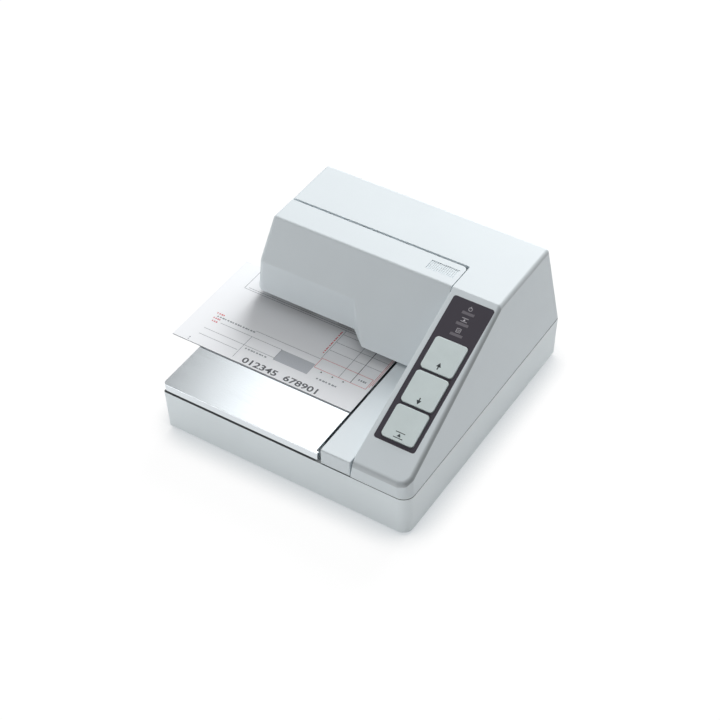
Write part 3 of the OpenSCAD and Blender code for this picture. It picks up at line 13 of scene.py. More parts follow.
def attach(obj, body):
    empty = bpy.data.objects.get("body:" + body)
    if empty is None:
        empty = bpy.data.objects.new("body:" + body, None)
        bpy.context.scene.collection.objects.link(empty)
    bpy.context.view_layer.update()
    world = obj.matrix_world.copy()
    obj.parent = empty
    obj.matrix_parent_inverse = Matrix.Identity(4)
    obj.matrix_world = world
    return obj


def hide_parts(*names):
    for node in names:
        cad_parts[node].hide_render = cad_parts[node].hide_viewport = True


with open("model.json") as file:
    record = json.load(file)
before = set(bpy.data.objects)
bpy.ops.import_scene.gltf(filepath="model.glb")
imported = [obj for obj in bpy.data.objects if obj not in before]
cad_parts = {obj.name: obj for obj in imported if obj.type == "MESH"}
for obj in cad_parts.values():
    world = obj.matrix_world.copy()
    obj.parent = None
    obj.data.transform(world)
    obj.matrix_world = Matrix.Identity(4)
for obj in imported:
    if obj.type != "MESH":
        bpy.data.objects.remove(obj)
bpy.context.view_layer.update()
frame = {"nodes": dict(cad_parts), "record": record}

bl_info = {
    "name": "Slip Printer",
    "version": (1, 0, 0),
    "blender": (4, 5, 0),
    "location": "View3D > Sidebar > Printer",
    "description": "Finishes and fine detail of a flat-bed dot matrix slip printer",
    "category": "Object",
}

MM = 0.001
BODY_OF = {node: body for body, nodes in frame["record"]["behaviour"]["bodies"].items() for node in nodes}

# Places in millimetres; every x is measured from the middle of the case, which stands at CASE_X
CASE_X = 10.95
HALF_WIDTH, HALF_DEPTH, TOP_Z = 90.0, 95.0, 95.0
# The height where the two case mouldings part, and the groove that runs there, whose band the plastic fills
# with painted shade
PART_Z = 33.0
GROOVE_LOW, GROOVE_TOP = 32.98, 33.54
# How far the side wall and the front wall lean in for each millimetre above the parting
SIDE_LEAN, FRONT_LEAN = 6.0 / 62.0, 0.8 / 11.8
# The slope that carries the panel starts at the crest; EDGE_R rounds its edges and CORNER_R its corner
CREST_Y = 24.4
FALL = 50.2 / 118.6
SLOPE = atan(FALL)
EDGE_R, CORNER_R = 3.0, 8.0
# Keys and indicator bars: place across, and places down the slope from the crest
KEY_X, KEY_PLACES, KEY_PROUD = 68.05, (44.8, 69.3, 93.8), 0.9
LAMP_X, LAMP_PLACES = 67.35, (13.0, 20.8, 28.6)
# The signs lie this far up the slope from their indicator bars
SIGN_RISE = 3.3
# The slip's top face, and how far the printed lines and the marks lie above their faces
SLIP_TOP = 40.4
INK_LIFT, INK_OVER, MARK_LIFT = 0.012, 0.02, 0.015
# The shell and the insert of the data socket
SOCKET_X, SOCKET_Z = -18.0, 17.6
SOCKET_HALF_W, SOCKET_HALF_H = 18.6, 3.45
SHELL_Y, INSERT_Y = 86.9, 88.02


def linear(hex_colour):
    """A colour written as #rrggbb in the linear values that shaders use."""
    parts = [int(hex_colour[i:i + 2], 16) / 255 for i in (1, 3, 5)]
    return [p / 12.92 if p <= 0.04045 else ((p + 0.055) / 1.055) ** 2.4 for p in parts]


def colour_prop(name, description, hex_colour):
    return FloatVectorProperty(name=name, description=description, subtype="COLOR", size=3, min=0, max=1,
                               default=linear(hex_colour))


# ---- Sizes and colours that a user would change ----

class CaseLook(PropertyGroup):
    """Plastic of the case"""
    colour: colour_prop("Case colour", "Colour of the pale moulded plastic", "#DFE7EB")
    # Partly the lower moulding's own paler plastic, partly painted light: the paler copy stands in for the
    # light the floor throws on the lower walls
    lower_colour: colour_prop("Lower case colour", "Colour of the lower moulding, a little paler", "#EAF2F5")
    edge: FloatProperty(name="Edge softness", description="Radius that softens the moulded edges",
                        default=0.35 * MM, min=0, unit="LENGTH")
    grain: FloatProperty(name="Grain", description="Depth of the moulded grain", default=0.02 * MM, min=0,
                         unit="LENGTH")


class PanelLook(PropertyGroup):
    """Control panel on the slope"""
    film: colour_prop("Film", "Colour of the dark panel sheet", "#45414A")
    key: colour_prop("Key", "Colour of the square keys", "#DEEAEA")
    mark: colour_prop("Mark", "Colour of the marks on the keys", "#3A4144")
    light_mark: colour_prop("Light mark", "Colour of the marks on the sheet", "#C9C6CC")
    lamp: colour_prop("Lamp", "Colour of the smoked indicator bars", "#77737A")


class SlipLook(PropertyGroup):
    """Printed slip on the table"""
    paper: colour_prop("Paper", "Colour of the paper", "#F4F6F9")
    ink: colour_prop("Grey ink", "Colour of the ruled lines", "#8D9298")
    dark_ink: colour_prop("Dark ink", "Colour of the numbers", "#4B4E54")
    red_ink: colour_prop("Red ink", "Colour of the framed boxes", "#D0686C")
    line: FloatProperty(name="Line", description="Width of a ruled line", default=0.32 * MM, min=0,
                        unit="LENGTH")


class SteelLook(PropertyGroup):
    """Metal parts"""
    table: colour_prop("Table", "Colour of the polished slip table", "#DCE2E6")
    sheet: colour_prop("Sheet", "Colour of the plated sheet steel", "#B9BDC0")
    bar: colour_prop("Bar", "Colour of the ground bars", "#CFD1D3")


class StageLook(PropertyGroup):
    """Floor, light and camera"""
    floor: colour_prop("Floor", "Colour of the floor", "#F2F2F2")
    sky: FloatProperty(name="Sky", description="Strength of the even light from all round", default=0.30,
                       min=0)
    rear: FloatProperty(name="Rear light", description="Power of the soft light behind", default=154, min=0,
                        unit="POWER")
    table: FloatProperty(name="Table light", description="Power of the soft light that the table mirrors",
                         default=3.7, min=0, unit="POWER")
    fill: FloatProperty(name="Fill", description="Power of the low light at the front left", default=6.2,
                        min=0, unit="POWER")
    lens: FloatProperty(name="Lens", description="Focal length of the camera", default=87.612, min=1,
                        unit="CAMERA")


LOOKS = {
    "printer_case": CaseLook,
    "printer_panel": PanelLook,
    "printer_slip": SlipLook,
    "printer_steel": SteelLook,
    "printer_stage": StageLook,
}


# ---- Materials ----

class Value:
    """A number socket that can be used in arithmetic; each operation adds a Math node."""

    def __init__(self, finish, socket):
        self.finish, self.socket = finish, socket

    def _math(self, operation, *values):
        return self.finish.node("ShaderNodeMath", {"operation": operation}, *values).out()

    def __add__(self, other):
        return self._math("ADD", self, other)

    def __sub__(self, other):
        return self._math("SUBTRACT", self, other)

    def __mul__(self, other):
        return self._math("MULTIPLY", self, other)

    def __truediv__(self, other):
        return self._math("DIVIDE", self, other)

    def __radd__(self, other):
        return self._math("ADD", other, self)

    def __rsub__(self, other):
        return self._math("SUBTRACT", other, self)

    def __gt__(self, other):
        return self._math("GREATER_THAN", self, other)

    def __lt__(self, other):
        return self._math("LESS_THAN", self, other)

    def abs(self):
        return self._math("ABSOLUTE", self)

    def cycle(self, period):
        """Distance into the current period, from 0 to the period."""
        return self._math("FLOORED_MODULO", self, period)

    def clamp(self, low=0.0, high=1.0):
        return self._math("MINIMUM", self._math("MAXIMUM", self, low), high)

    def at_least(self, low):
        return self._math("MAXIMUM", self, low)

    def at_most(self, high):
        return self._math("MINIMUM", self, high)

    def root(self):
        return self._math("SQRT", self)

    def inside(self, low, high):
        """1 between low and high, else 0."""
        return (self > low) * (self < high)


class Step:
    """A node that was just added."""

    def __init__(self, finish, node):
        self.finish, self.node = finish, node

    def out(self, name=0):
        return Value(self.finish, self.node.outputs[name])


class Finish:
    """One material and its nodes."""

    def __init__(self, name):
        self.material = bpy.data.materials.new(name)
        self.material.use_nodes = True
        self.tree = self.material.node_tree
        self.tree.nodes.clear()
        self.output = self.tree.nodes.new("ShaderNodeOutputMaterial")
        self._place = None

    def node(self, kind, settings=None, *values, **named):
        """Adds a node: its settings first, then values or links of its sockets by order or by name."""
        node = self.tree.nodes.new(kind)
        for key, value in (settings or {}).items():
            setattr(node, key, value)
        for place, value in list(enumerate(values)) + [(k.replace("_", " "), v) for k, v in named.items()]:
            self.plug(node.inputs[place], value)
        return Step(self, node)

    def plug(self, socket, value):
        if isinstance(value, Value):
            self.tree.links.new(value.socket, socket)
        elif hasattr(value, "__len__") and socket.type == "RGBA":
            socket.default_value = (*value[:3], 1)
        else:
            socket.default_value = value

    def place(self):
        """Object coordinates as three numbers in millimetres."""
        if self._place is None:
            spot = self.node("ShaderNodeTexCoord").out("Object")
            split = self.node("ShaderNodeSeparateXYZ", None, spot)
            self._place = tuple(split.out(axis) / MM for axis in "XYZ")
        return self._place

    def noise(self, per_mm, detail=2.0, roughness=0.5, stretch=(1, 1, 1)):
        spot = self.node("ShaderNodeTexCoord").out("Object")
        mapped = self.node("ShaderNodeMapping", None, spot, Scale=[s * per_mm / MM for s in stretch])
        return self.node("ShaderNodeTexNoise", None, Vector=mapped.out(), Scale=1.0, Detail=detail,
                         Roughness=roughness).out("Fac")

    def mix(self, amount, first, second):
        """Colour between two colours."""
        step = self.tree.nodes.new("ShaderNodeMix")
        step.data_type = "RGBA"
        self.plug(step.inputs["Factor"], amount)
        self.plug(step.inputs[6], first)
        self.plug(step.inputs[7], second)
        return Value(self, step.outputs[2])

    def bump(self, height, distance, strength=1.0):
        return self.node("ShaderNodeBump", None, Strength=strength, Distance=distance, Height=height).out()

    def surface(self, colour, roughness=0.5, metallic=0.0, normal=None, **constants):
        """Closes the material with one shader."""
        shader = self.tree.nodes.new("ShaderNodeBsdfPrincipled")
        self.plug(shader.inputs["Base Color"], colour)
        self.plug(shader.inputs["Roughness"], roughness)
        self.plug(shader.inputs["Metallic"], metallic)
        if normal is not None:
            self.plug(shader.inputs["Normal"], normal)
        for name, value in constants.items():
            self.plug(shader.inputs[name.replace("_", " ")], value)
        self.tree.links.new(shader.outputs[0], self.output.inputs["Surface"])
        return self.material


def shade(colour, factor):
    """The colour made darker or lighter by a factor."""
    return [min(1.0, c * factor) for c in colour]


def painted_edge_shade(f):
    """How deep the painted shade lies on the rounded edges between the slope and the walls: a soft dark band
    that stands in for the shade those edges catch.
    """
    x, y, z = f.place()
    lift = (z - PART_Z).at_least(0.0)
    to_side = HALF_WIDTH - lift * SIDE_LEAN - (x - CASE_X)
    to_front = y + HALF_DEPTH - lift * FRONT_LEAN
    across, along = (CORNER_R - to_side).at_least(0.0), (CORNER_R - to_front).at_least(0.0)
    # Distances from the start of the rounding, outward and upward
    out = (across * across + along * along).root() - (CORNER_R - EDGE_R)
    up = EDGE_R - ((TOP_Z - (CREST_Y - y) * FALL).at_most(TOP_Z) - z) * 0.96
    shade_band = ((out / EDGE_R - 0.12) / 0.7).clamp() * (up / EDGE_R / 0.25).clamp()
    # The painted shade is deeper on the right edge of the slope than on the front edge and the top edges
    on_slope_part = (CREST_Y - y).clamp()
    on_side_part = (across / CORNER_R).clamp()
    return shade_band * (0.30 + on_slope_part * on_side_part * 0.28)


def grained_plastic(name, colour, grain, roughness=0.5, spread=0.03, paint_edge_shade=False, groove=False):
    """Moulded plastic with a fine grain; the two switches add painted shade: a soft dark band on the rounded
    edges, and dark colour in the parting groove.
    """
    f = Finish(name)
    tone = f.noise(0.03, 2.0)
    fine = f.noise(2.2, 3.0, 0.6)
    base = f.mix(tone, shade(colour, 1 - spread), shade(colour, 1 + spread / 2))
    if paint_edge_shade:
        # Painted shade: the base colour is mixed towards near black in a band along the rounded slope edges
        base = f.mix(painted_edge_shade(f), base, shade(colour, 0.08))
    if groove:
        # Painted shade: the colour goes dark in the narrow parting groove, where shade falls between the two
        # mouldings
        z = f.place()[2]
        base = f.mix(z.inside(GROOVE_LOW, GROOVE_TOP) * 0.85, base, shade(colour, 0.1))
    return f.surface(base, roughness + (fine - 0.5) * 0.08, normal=f.bump(fine, grain, 0.5),
                     Specular_IOR_Level=0.4)


def plain_plastic(name, colour, roughness=0.42):
    """Smooth plastic with faint scuffs."""
    f = Finish(name)
    tone = f.noise(0.12, 3.0)
    scuff = f.noise(0.6, 4.0, 0.7)
    base = f.mix(tone, shade(colour, 0.94), shade(colour, 1.05))
    return f.surface(base, roughness + (scuff - 0.5) * 0.16, normal=f.bump(scuff, 0.01 * MM, 0.4),
                     Specular_IOR_Level=0.45)


def plated_steel(name, colour, roughness=0.36, stretch=(1, 1, 1)):
    """Plated or ground steel: soft clouding and fine drawn lines."""
    f = Finish(name)
    cloud = f.noise(0.09, 3.0)
    lines = f.noise(1.2, 2.0, 0.5, stretch)
    base = f.mix(cloud, shade(colour, 0.86), shade(colour, 1.08))
    return f.surface(base, roughness + (lines - 0.5) * 0.2, 1.0, f.bump(lines, 0.006 * MM, 0.6))


def rubber(name, colour):
    f = Finish(name)
    dust = f.noise(0.25, 4.0, 0.7)
    return f.surface(f.mix(dust, shade(colour, 0.8), shade(colour, 1.5)), 0.72 + (dust - 0.5) * 0.2,
                     normal=f.bump(f.noise(1.6, 2.0), 0.02 * MM, 0.5), Specular_IOR_Level=0.25)


# ---- Shapes ----

def on_slope(x, s, h=0.0):
    """Place on the sloping face in millimetres: x across, s down from the crest, h out of the face."""
    return (Matrix.Translation(Vector((CASE_X + x, CREST_Y, TOP_Z)) * MM) @ Matrix.Rotation(SLOPE, 4, "X")
            @ Matrix.Translation(Vector((0, -s, h)) * MM))


def new_piece(name, shape, body, material, smooth=None):
    """Turns a finished bmesh into an object that moves with a body."""
    mesh = bpy.data.meshes.new(name)
    for face in shape.faces:
        face.smooth = smooth is not None
    if smooth is not None:
        for edge in shape.edges:
            edge.smooth = len(edge.link_faces) == 2 and edge.calc_face_angle(pi) < smooth
    shape.to_mesh(mesh)
    shape.free()
    piece = bpy.data.objects.new(name, mesh)
    bpy.context.scene.collection.objects.link(piece)
    piece.data.materials.append(material)
    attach(piece, body)
    return piece


def soften(node, material, width=0.0, smooth=radians(32), segments=2):
    """A merged copy of a solid with smooth curves and softened edges, which stands for the solid."""
    shape = bmesh.new()
    shape.from_mesh(frame["nodes"][node].data)
    bmesh.ops.remove_doubles(shape, verts=shape.verts, dist=0.0005 * MM)
    bmesh.ops.dissolve_limit(shape, angle_limit=radians(0.4), use_dissolve_boundaries=False,
                             verts=shape.verts, edges=shape.edges, delimit=set())
    piece = new_piece(node + "_finish", shape, BODY_OF[node], material, smooth)
    if width:
        bevel = piece.modifiers.new("Soft edges", "BEVEL")
        bevel.width = width
        bevel.segments = segments
        bevel.limit_method = "ANGLE"
        bevel.angle_limit = smooth
        bevel.harden_normals = True
    even = piece.modifiers.new("Even shading", "WEIGHTED_NORMAL")
    even.weight = 100
    even.keep_sharp = True
    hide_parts(node)
    return piece


def paint(material, *nodes):
    """Gives solids a material and leaves their shape as it is."""
    for node in nodes:
        solid = frame["nodes"][node]
        solid.data.materials.clear()
        solid.data.materials.append(material)


def card(shape, x0, y0, x1, y1, place):
    """A flat rectangle between two corners, in millimetres, laid at a place."""
    middle = Matrix.Translation(Vector(((x0 + x1) / 2, (y0 + y1) / 2, 0)) * MM)
    size = Matrix.Diagonal((abs(x1 - x0) * MM, abs(y1 - y0) * MM, 1, 1))
    bmesh.ops.create_grid(shape, x_segments=1, y_segments=1, size=0.5, matrix=place @ middle @ size)


def arrowhead(shape, x, y, size, turn, place):
    """A flat triangle that points along turn, measured from +Y."""
    spot = place @ Matrix.Translation(Vector((x, y, 0)) * MM) @ Matrix.Rotation(turn, 4, "Z")
    bmesh.ops.create_circle(shape, cap_ends=True, segments=3, radius=size * MM, matrix=spot)


def ring(shape, radius, width, place):
    """A flat ring round the middle of a place."""
    before = set(shape.edges)
    for size in (radius - width, radius):
        bmesh.ops.create_circle(shape, segments=32, radius=size * MM, matrix=place)
    bmesh.ops.bridge_loops(shape, edges=[e for e in shape.edges if e not in before])


# ---- Operators ----

class PRINTER_OT_case(Operator):
    """Finishes the case mouldings and the side guide"""
    bl_idname = "printer.case"
    bl_label = "Case"

    def execute(self, context):
        look = context.scene.printer_case
        # The lower case: a paler copy of the case colour that is partly painted floor light, with painted
        # shade in the parting groove
        lower = grained_plastic("lower_case_plastic", look.lower_colour, look.grain, groove=True)
        guide = grained_plastic("case_plastic", look.colour, look.grain)
        # The upper case gets painted shade on its rounded slope edges and in the parting groove
        upper = grained_plastic("upper_case_plastic", look.colour, look.grain, paint_edge_shade=True, groove=True)
        for node, plastic in (("lower_case", lower), ("side_guide", guide), ("upper_case", upper)):
            soften(node, plastic, look.edge)
        return {"FINISHED"}


class PRINTER_OT_cover(Operator):
    """Finishes the hinged ribbon cover"""
    bl_idname = "printer.cover"
    bl_label = "Ribbon cover"

    def execute(self, context):
        look = context.scene.printer_case
        soften("ribbon_cover", grained_plastic("cover_plastic", look.colour, look.grain), look.edge)
        return {"FINISHED"}


class PRINTER_OT_table(Operator):
    """Finishes the polished slip table"""
    bl_idname = "printer.table"
    bl_label = "Slip table"

    def execute(self, context):
        f = Finish("polished_table")
        colour = context.scene.printer_steel.table
        lines = f.noise(1.5, 2.0, 0.5, (0.04, 1, 1))
        cloud = f.noise(0.02, 2.0)
        steel = f.surface(f.mix(cloud, shade(colour, 0.97), colour), 0.2 + (lines - 0.5) * 0.08, 1.0,
                          f.bump(lines, 0.003 * MM, 0.4))
        soften("slip_table", steel, 0.2 * MM)
        return {"FINISHED"}


# Ruled lines of the slip in millimetres: x0, y0, x1, y1 of each middle line
GREY_LINES = (
    (-97.6, 5.3, 24.2, 5.3), (-97.6, 5.3, -97.6, 24.5), (-95.0, 7.0, 24.2, 7.0), (-66.9, -25.2, -16.6, -25.2),
    (-91.1, -31.0, -42.9, -31.0), (-97.6, -39.8, -42.9, -39.8), (-97.5, -45.8, -67.5, -45.8),
    (-66.3, -31.0, -66.3, -52.6), (-42.9, -31.0, -42.9, -41.4), (-17.2, -24.1, -17.2, 5.3),
    (1.5, -33.4, 1.5, 5.3), (-16.6, 1.3, 22.3, 1.3), (-16.6, -7.1, 22.3, -7.1), (-16.6, -15.3, 22.3, -15.3),
)
DARK_LINES = ((10.3, -33.4, 10.3, 5.3), (-111.4, -55.15, 24.4, -55.15))
RED_LINES = (
    (-16.7, -24.1, 21.6, -24.1), (-16.7, -33.4, 21.6, -33.4), (-16.7, -33.4, -16.7, -24.1),
    (21.6, -33.4, 21.6, -24.1), (22.6, -31.0, 22.6, 5.3), (23.6, -29.0, 23.6, 5.3),
)
# Rows of small dashes that stand for small print: x, y, length, height, dashes, upright
SMALL_PRINT_GREY = ((-96.7, -26.6, 30.2, 1.1, 15, False), (-63.8, -42.0, 17.0, 1.1, 8, False),
                    (-10.0, -41.2, 16.0, 1.2, 7, False), (13.4, -28.6, 6.4, 1.4, 4, False),
                    (-100.4, -54.0, 3.4, 0.7, 2, True))
SMALL_PRINT_RED = ((-98.6, -24.0, 6.6, 1.2, 4, False), (-98.2, -28.8, 6.0, 1.2, 4, False),
                   (-97.4, -31.6, 4.4, 1.2, 3, False), (-18.9, -19.6, 23.5, 1.0, 13, True))
# Middles of the three small pointers
POINTERS = ((-10.2, -35.2), (-1.8, -35.2), (6.2, -35.2))
# The hatched box, and the row of plain numbers: its left end, its foot, its length and the size of its type
HATCHED_BOX = (-42.9, -41.4, -17.2, -31.0)
NUMBERS_X, NUMBERS_Y, NUMBERS_WIDTH, NUMBERS_SIZE = -59.4, -53.4, 56.5, 6.7


class PRINTER_OT_slip(Operator):
    """Makes the paper of the slip and its printed lines, with plain numbers where the words are"""
    bl_idname = "printer.slip"
    bl_label = "Paper slip"

    def execute(self, context):
        look = context.scene.printer_slip
        f = Finish("slip_paper")
        fibre = f.noise(1.4, 4.0, 0.6)
        paint(f.surface(f.mix(fibre, shade(look.paper, 0.985), look.paper), 0.62,
                        normal=f.bump(fibre, 0.008 * MM, 0.4), Specular_IOR_Level=0.3), "paper_slip")
        half = look.line / MM / 2
        lift, over = (Matrix.Translation(Vector((CASE_X, 0, SLIP_TOP + above)) * MM)
                      for above in (INK_LIFT, INK_OVER))
        for name, colour, lines, rows, width in (
                ("slip_grey_print", look.ink, GREY_LINES, SMALL_PRINT_GREY, half),
                ("slip_dark_print", look.dark_ink, DARK_LINES, (), half * 1.3),
                ("slip_red_print", look.red_ink, RED_LINES, SMALL_PRINT_RED, half)):
            shape = bmesh.new()
            level = lift if lines is GREY_LINES else over
            for x0, y0, x1, y1 in lines:
                card(shape, x0 - width, y0 - width, x1 + width, y1 + width, level)
            for x, y, length, high, count, upright in rows:
                step = length / count
                for i in range(count):
                    wide = step * (0.5 + 0.3 * (i * 7 % 3) / 2)
                    if upright:
                        card(shape, x - high / 2, y + i * step, x + high / 2, y + i * step + wide, over)
                    else:
                        card(shape, x + i * step, y - high / 2, x + i * step + wide, y + high / 2, over)
            if lines is DARK_LINES:
                for x, y in POINTERS:
                    arrowhead(shape, x, y, 0.9, 0, over)
            ink = Finish(name)
            worn = ink.mix(ink.noise(2.0, 3.0), shade(colour, 0.92), shade(colour, 1.12))
            new_piece(name, shape, "slip", ink.surface(worn, 0.6, Specular_IOR_Level=0.2))
        shape = bmesh.new()
        card(shape, *HATCHED_BOX, lift)
        hatch = Finish("slip_hatch")
        x, y, z = hatch.place()
        weave = ((x + y).cycle(0.8) < 0.4) * 0.5 + ((x - y).cycle(0.8) < 0.4) * 0.5
        new_piece("slip_hatched_box", shape, "slip",
                  hatch.surface(hatch.mix(weave, linear("#A9AEB5"), linear("#C4C8CE")), 0.6))

        numbers = bpy.data.curves.new("slip_numbers", "FONT")
        numbers.body = "012345  678901"
        numbers.size = NUMBERS_SIZE * MM
        numbers.offset = 0.14 * MM
        numbers.resolution_u = 3
        drawn = bpy.data.objects.new("slip_numbers_curve", numbers)
        bpy.context.scene.collection.objects.link(drawn)
        bpy.context.view_layer.update()
        mesh = bpy.data.meshes.new_from_object(drawn.evaluated_get(bpy.context.evaluated_depsgraph_get()))
        bpy.data.objects.remove(drawn)
        wide = max(v.co.x for v in mesh.vertices)
        mesh.transform(Matrix.Translation(Vector((CASE_X + NUMBERS_X, NUMBERS_Y, SLIP_TOP + INK_OVER)) * MM)
                       @ Matrix.Diagonal((NUMBERS_WIDTH * MM / wide, 1, 1, 1)))
        shape = bmesh.new()
        shape.from_mesh(mesh)
        ink = Finish("slip_number_ink")
        worn = ink.mix(ink.noise(2.0, 3.0), shade(look.dark_ink, 0.9), shade(look.dark_ink, 1.2))
        new_piece("slip_numbers", shape, "slip", ink.surface(worn, 0.55))
        return {"FINISHED"}


# Bars of the sign of a sheet: a frame and two short lines
SHEET_SIGN = ((-1.5, -1.5, 1.5, -1.2), (-1.5, 1.2, 1.5, 1.5), (-1.5, -1.5, -1.2, 1.5), (1.2, -1.5, 1.5, 1.5),
              (-0.8, 0.2, 0.8, 0.45), (-0.8, -0.6, 0.8, -0.35))


class PRINTER_OT_panel(Operator):
    """Makes the panel sheet, the indicator bars and the small light marks"""
    bl_idname = "printer.panel"
    bl_label = "Control panel"

    def execute(self, context):
        look = context.scene.printer_panel
        film = grained_plastic("panel_film", look.film, 0.006 * MM, 0.42, 0.05)
        soften("control_panel", film, 0.08 * MM)
        lamp = plain_plastic("smoked_lamp", look.lamp, 0.3)
        soften("indicator_lenses", lamp, 0.08 * MM)
        shape = bmesh.new()
        for i, s in enumerate(LAMP_PLACES):
            spot = on_slope(LAMP_X, s - SIGN_RISE, MARK_LIFT)
            if i == 0:
                ring(shape, 1.35, 0.28, spot)
                card(shape, -0.16, 0.3, 0.16, 1.9, spot)
            elif i == 1:
                card(shape, -2.2, 0.9, 2.2, 1.25, spot)
                arrowhead(shape, 0, -0.3, 0.95, 0, spot)
                card(shape, -2.2, -1.4, 2.2, -1.05, spot)
            else:
                for corners in SHEET_SIGN:
                    card(shape, *corners, spot)
        ink = plain_plastic("panel_mark_ink", look.light_mark, 0.5)
        new_piece("panel_marks", shape, "chassis", ink)
        return {"FINISHED"}


class PRINTER_OT_keys(Operator):
    """Finishes the three square keys and draws an arrow on each"""
    bl_idname = "printer.keys"
    bl_label = "Keys"

    def execute(self, context):
        look = context.scene.printer_panel
        plastic = plain_plastic("key_plastic", look.key, 0.4)
        ink = plain_plastic("key_mark_ink", look.mark, 0.5)
        marks = (("forward_key", "up"), ("reverse_key", "down"), ("release_key", "apart"))
        for (node, mark), s in zip(marks, KEY_PLACES):
            soften(node, plastic, 0.4 * MM, segments=3)
            shape = bmesh.new()
            spot = on_slope(KEY_X, s, KEY_PROUD + INK_LIFT)
            if mark == "up":
                arrowhead(shape, 0, -6.4, 1.9, 0, spot)
                card(shape, -0.4, -9.2, 0.4, -7.2, spot)
            elif mark == "down":
                arrowhead(shape, 0, -8.0, 1.9, pi, spot)
                card(shape, -0.4, -7.2, 0.4, -5.2, spot)
            else:
                card(shape, -3.2, -5.8, 3.2, -5.3, spot)
                arrowhead(shape, 0, -7.6, 1.5, 0, spot)
                card(shape, -3.2, -9.5, 3.2, -9.0, spot)
            new_piece(node + "_mark", shape, BODY_OF[node], ink)
        return {"FINISHED"}


class PRINTER_OT_mechanism(Operator):
    """Finishes the frame, shafts, rollers, gears and motors"""
    bl_idname = "printer.mechanism"
    bl_label = "Mechanism"

    def execute(self, context):
        look = context.scene.printer_steel
        sheet = plated_steel("plated_sheet", look.sheet, 0.4)
        for node in ("left_side_plate", "right_side_plate", "frame_deck", "rear_stay", "spindle_bracket",
                     "form_stopper", "pinch_frame"):
            soften(node, sheet)
        bar = plated_steel("ground_bar", look.bar, 0.24, (0.05, 1, 1))
        for node in ("cover_hinge_pin", "carriage_guide_shaft", "rear_guide_shaft", "feed_shaft",
                     "pinch_shaft", "idler_stud", "middle_gear_stud", "ribbon_spindle", "solenoid_plunger",
                     "pinch_springs", "drive_pulley", "platen"):
            soften(node, bar)
        screw = plated_steel("plated_screw", shade(look.sheet, 0.9), 0.32)
        for node in ("case_screws", "frame_screws", "head_screws", "ground_screw", "jack_posts"):
            soften(node, screw)
        can = plated_steel("motor_can", linear("#8C9094"), 0.42)
        for node in ("carriage_motor", "feed_motor", "release_solenoid"):
            soften(node, can)
        soften("print_head", plated_steel("cast_head", linear("#74787D"), 0.5))
        nylon = plain_plastic("natural_nylon", linear("#E9E6DA"), 0.45)
        for node in ("feed_gear", "middle_gear", "idler_pulley"):
            soften(node, nylon)
        soften("motor_pinion", plated_steel("cut_brass", linear("#C9A961"), 0.3))
        black = plain_plastic("black_plastic", linear("#25262A"), 0.45)
        for node in ("key_switches", "board_parts", "power_inlet", "power_switch", "power_rocker",
                     "ribbon_knob", "ribbon_cassette", "head_carriage"):
            soften(node, black)
        dull = rubber("dull_rubber", linear("#26262A"))
        for node in ("rubber_feet", "feed_rollers", "pinch_rollers", "timing_belt"):
            soften(node, dull)
        return {"FINISHED"}


class PRINTER_OT_ribbon(Operator):
    """Finishes the inked ribbon"""
    bl_idname = "printer.ribbon"
    bl_label = "Ribbon"

    def execute(self, context):
        f = Finish("inked_ribbon")
        x, y, z = f.place()
        weave = (x.cycle(0.3) < 0.15) * 0.5 + (y.cycle(0.3) < 0.15) * 0.5
        cloth = f.mix(weave, linear("#17171B"), linear("#25252B"))
        ribbon = f.surface(cloth, 0.7, normal=f.bump(weave, 0.03 * MM, 0.5), Specular_IOR_Level=0.25)
        paint(ribbon, "ink_ribbon")
        return {"FINISHED"}


class PRINTER_OT_electronics(Operator):
    """Finishes the boards and the data socket"""
    bl_idname = "printer.electronics"
    bl_label = "Electronics"

    def execute(self, context):
        f = Finish("board_lacquer")
        x, y, z = f.place()
        tracks = (x.cycle(4.0) < 0.5) * (y.cycle(17.0) > 6.0)
        base = f.mix(f.noise(0.1), linear("#1F5A3C"), linear("#2A6B49"))
        board = f.surface(f.mix(tracks * 0.6, base, linear("#4C8F66")), 0.35)
        for node in ("main_board", "panel_board"):
            soften(node, board)
        f = Finish("socket_metal")
        x, y, z = f.place()
        beside, above = (x - (CASE_X + SOCKET_X)).abs(), (z - SOCKET_Z).abs()
        insert = (beside < SOCKET_HALF_W) * (above < SOCKET_HALF_H) * (y > INSERT_Y)
        black = 1 - (1 - insert) * (y > SHELL_Y)
        soften("data_connector", f.surface(f.mix(black, linear("#C9CAC6"), linear("#22242A")),
                                           0.32 + black * 0.2, 1 - black))
        return {"FINISHED"}


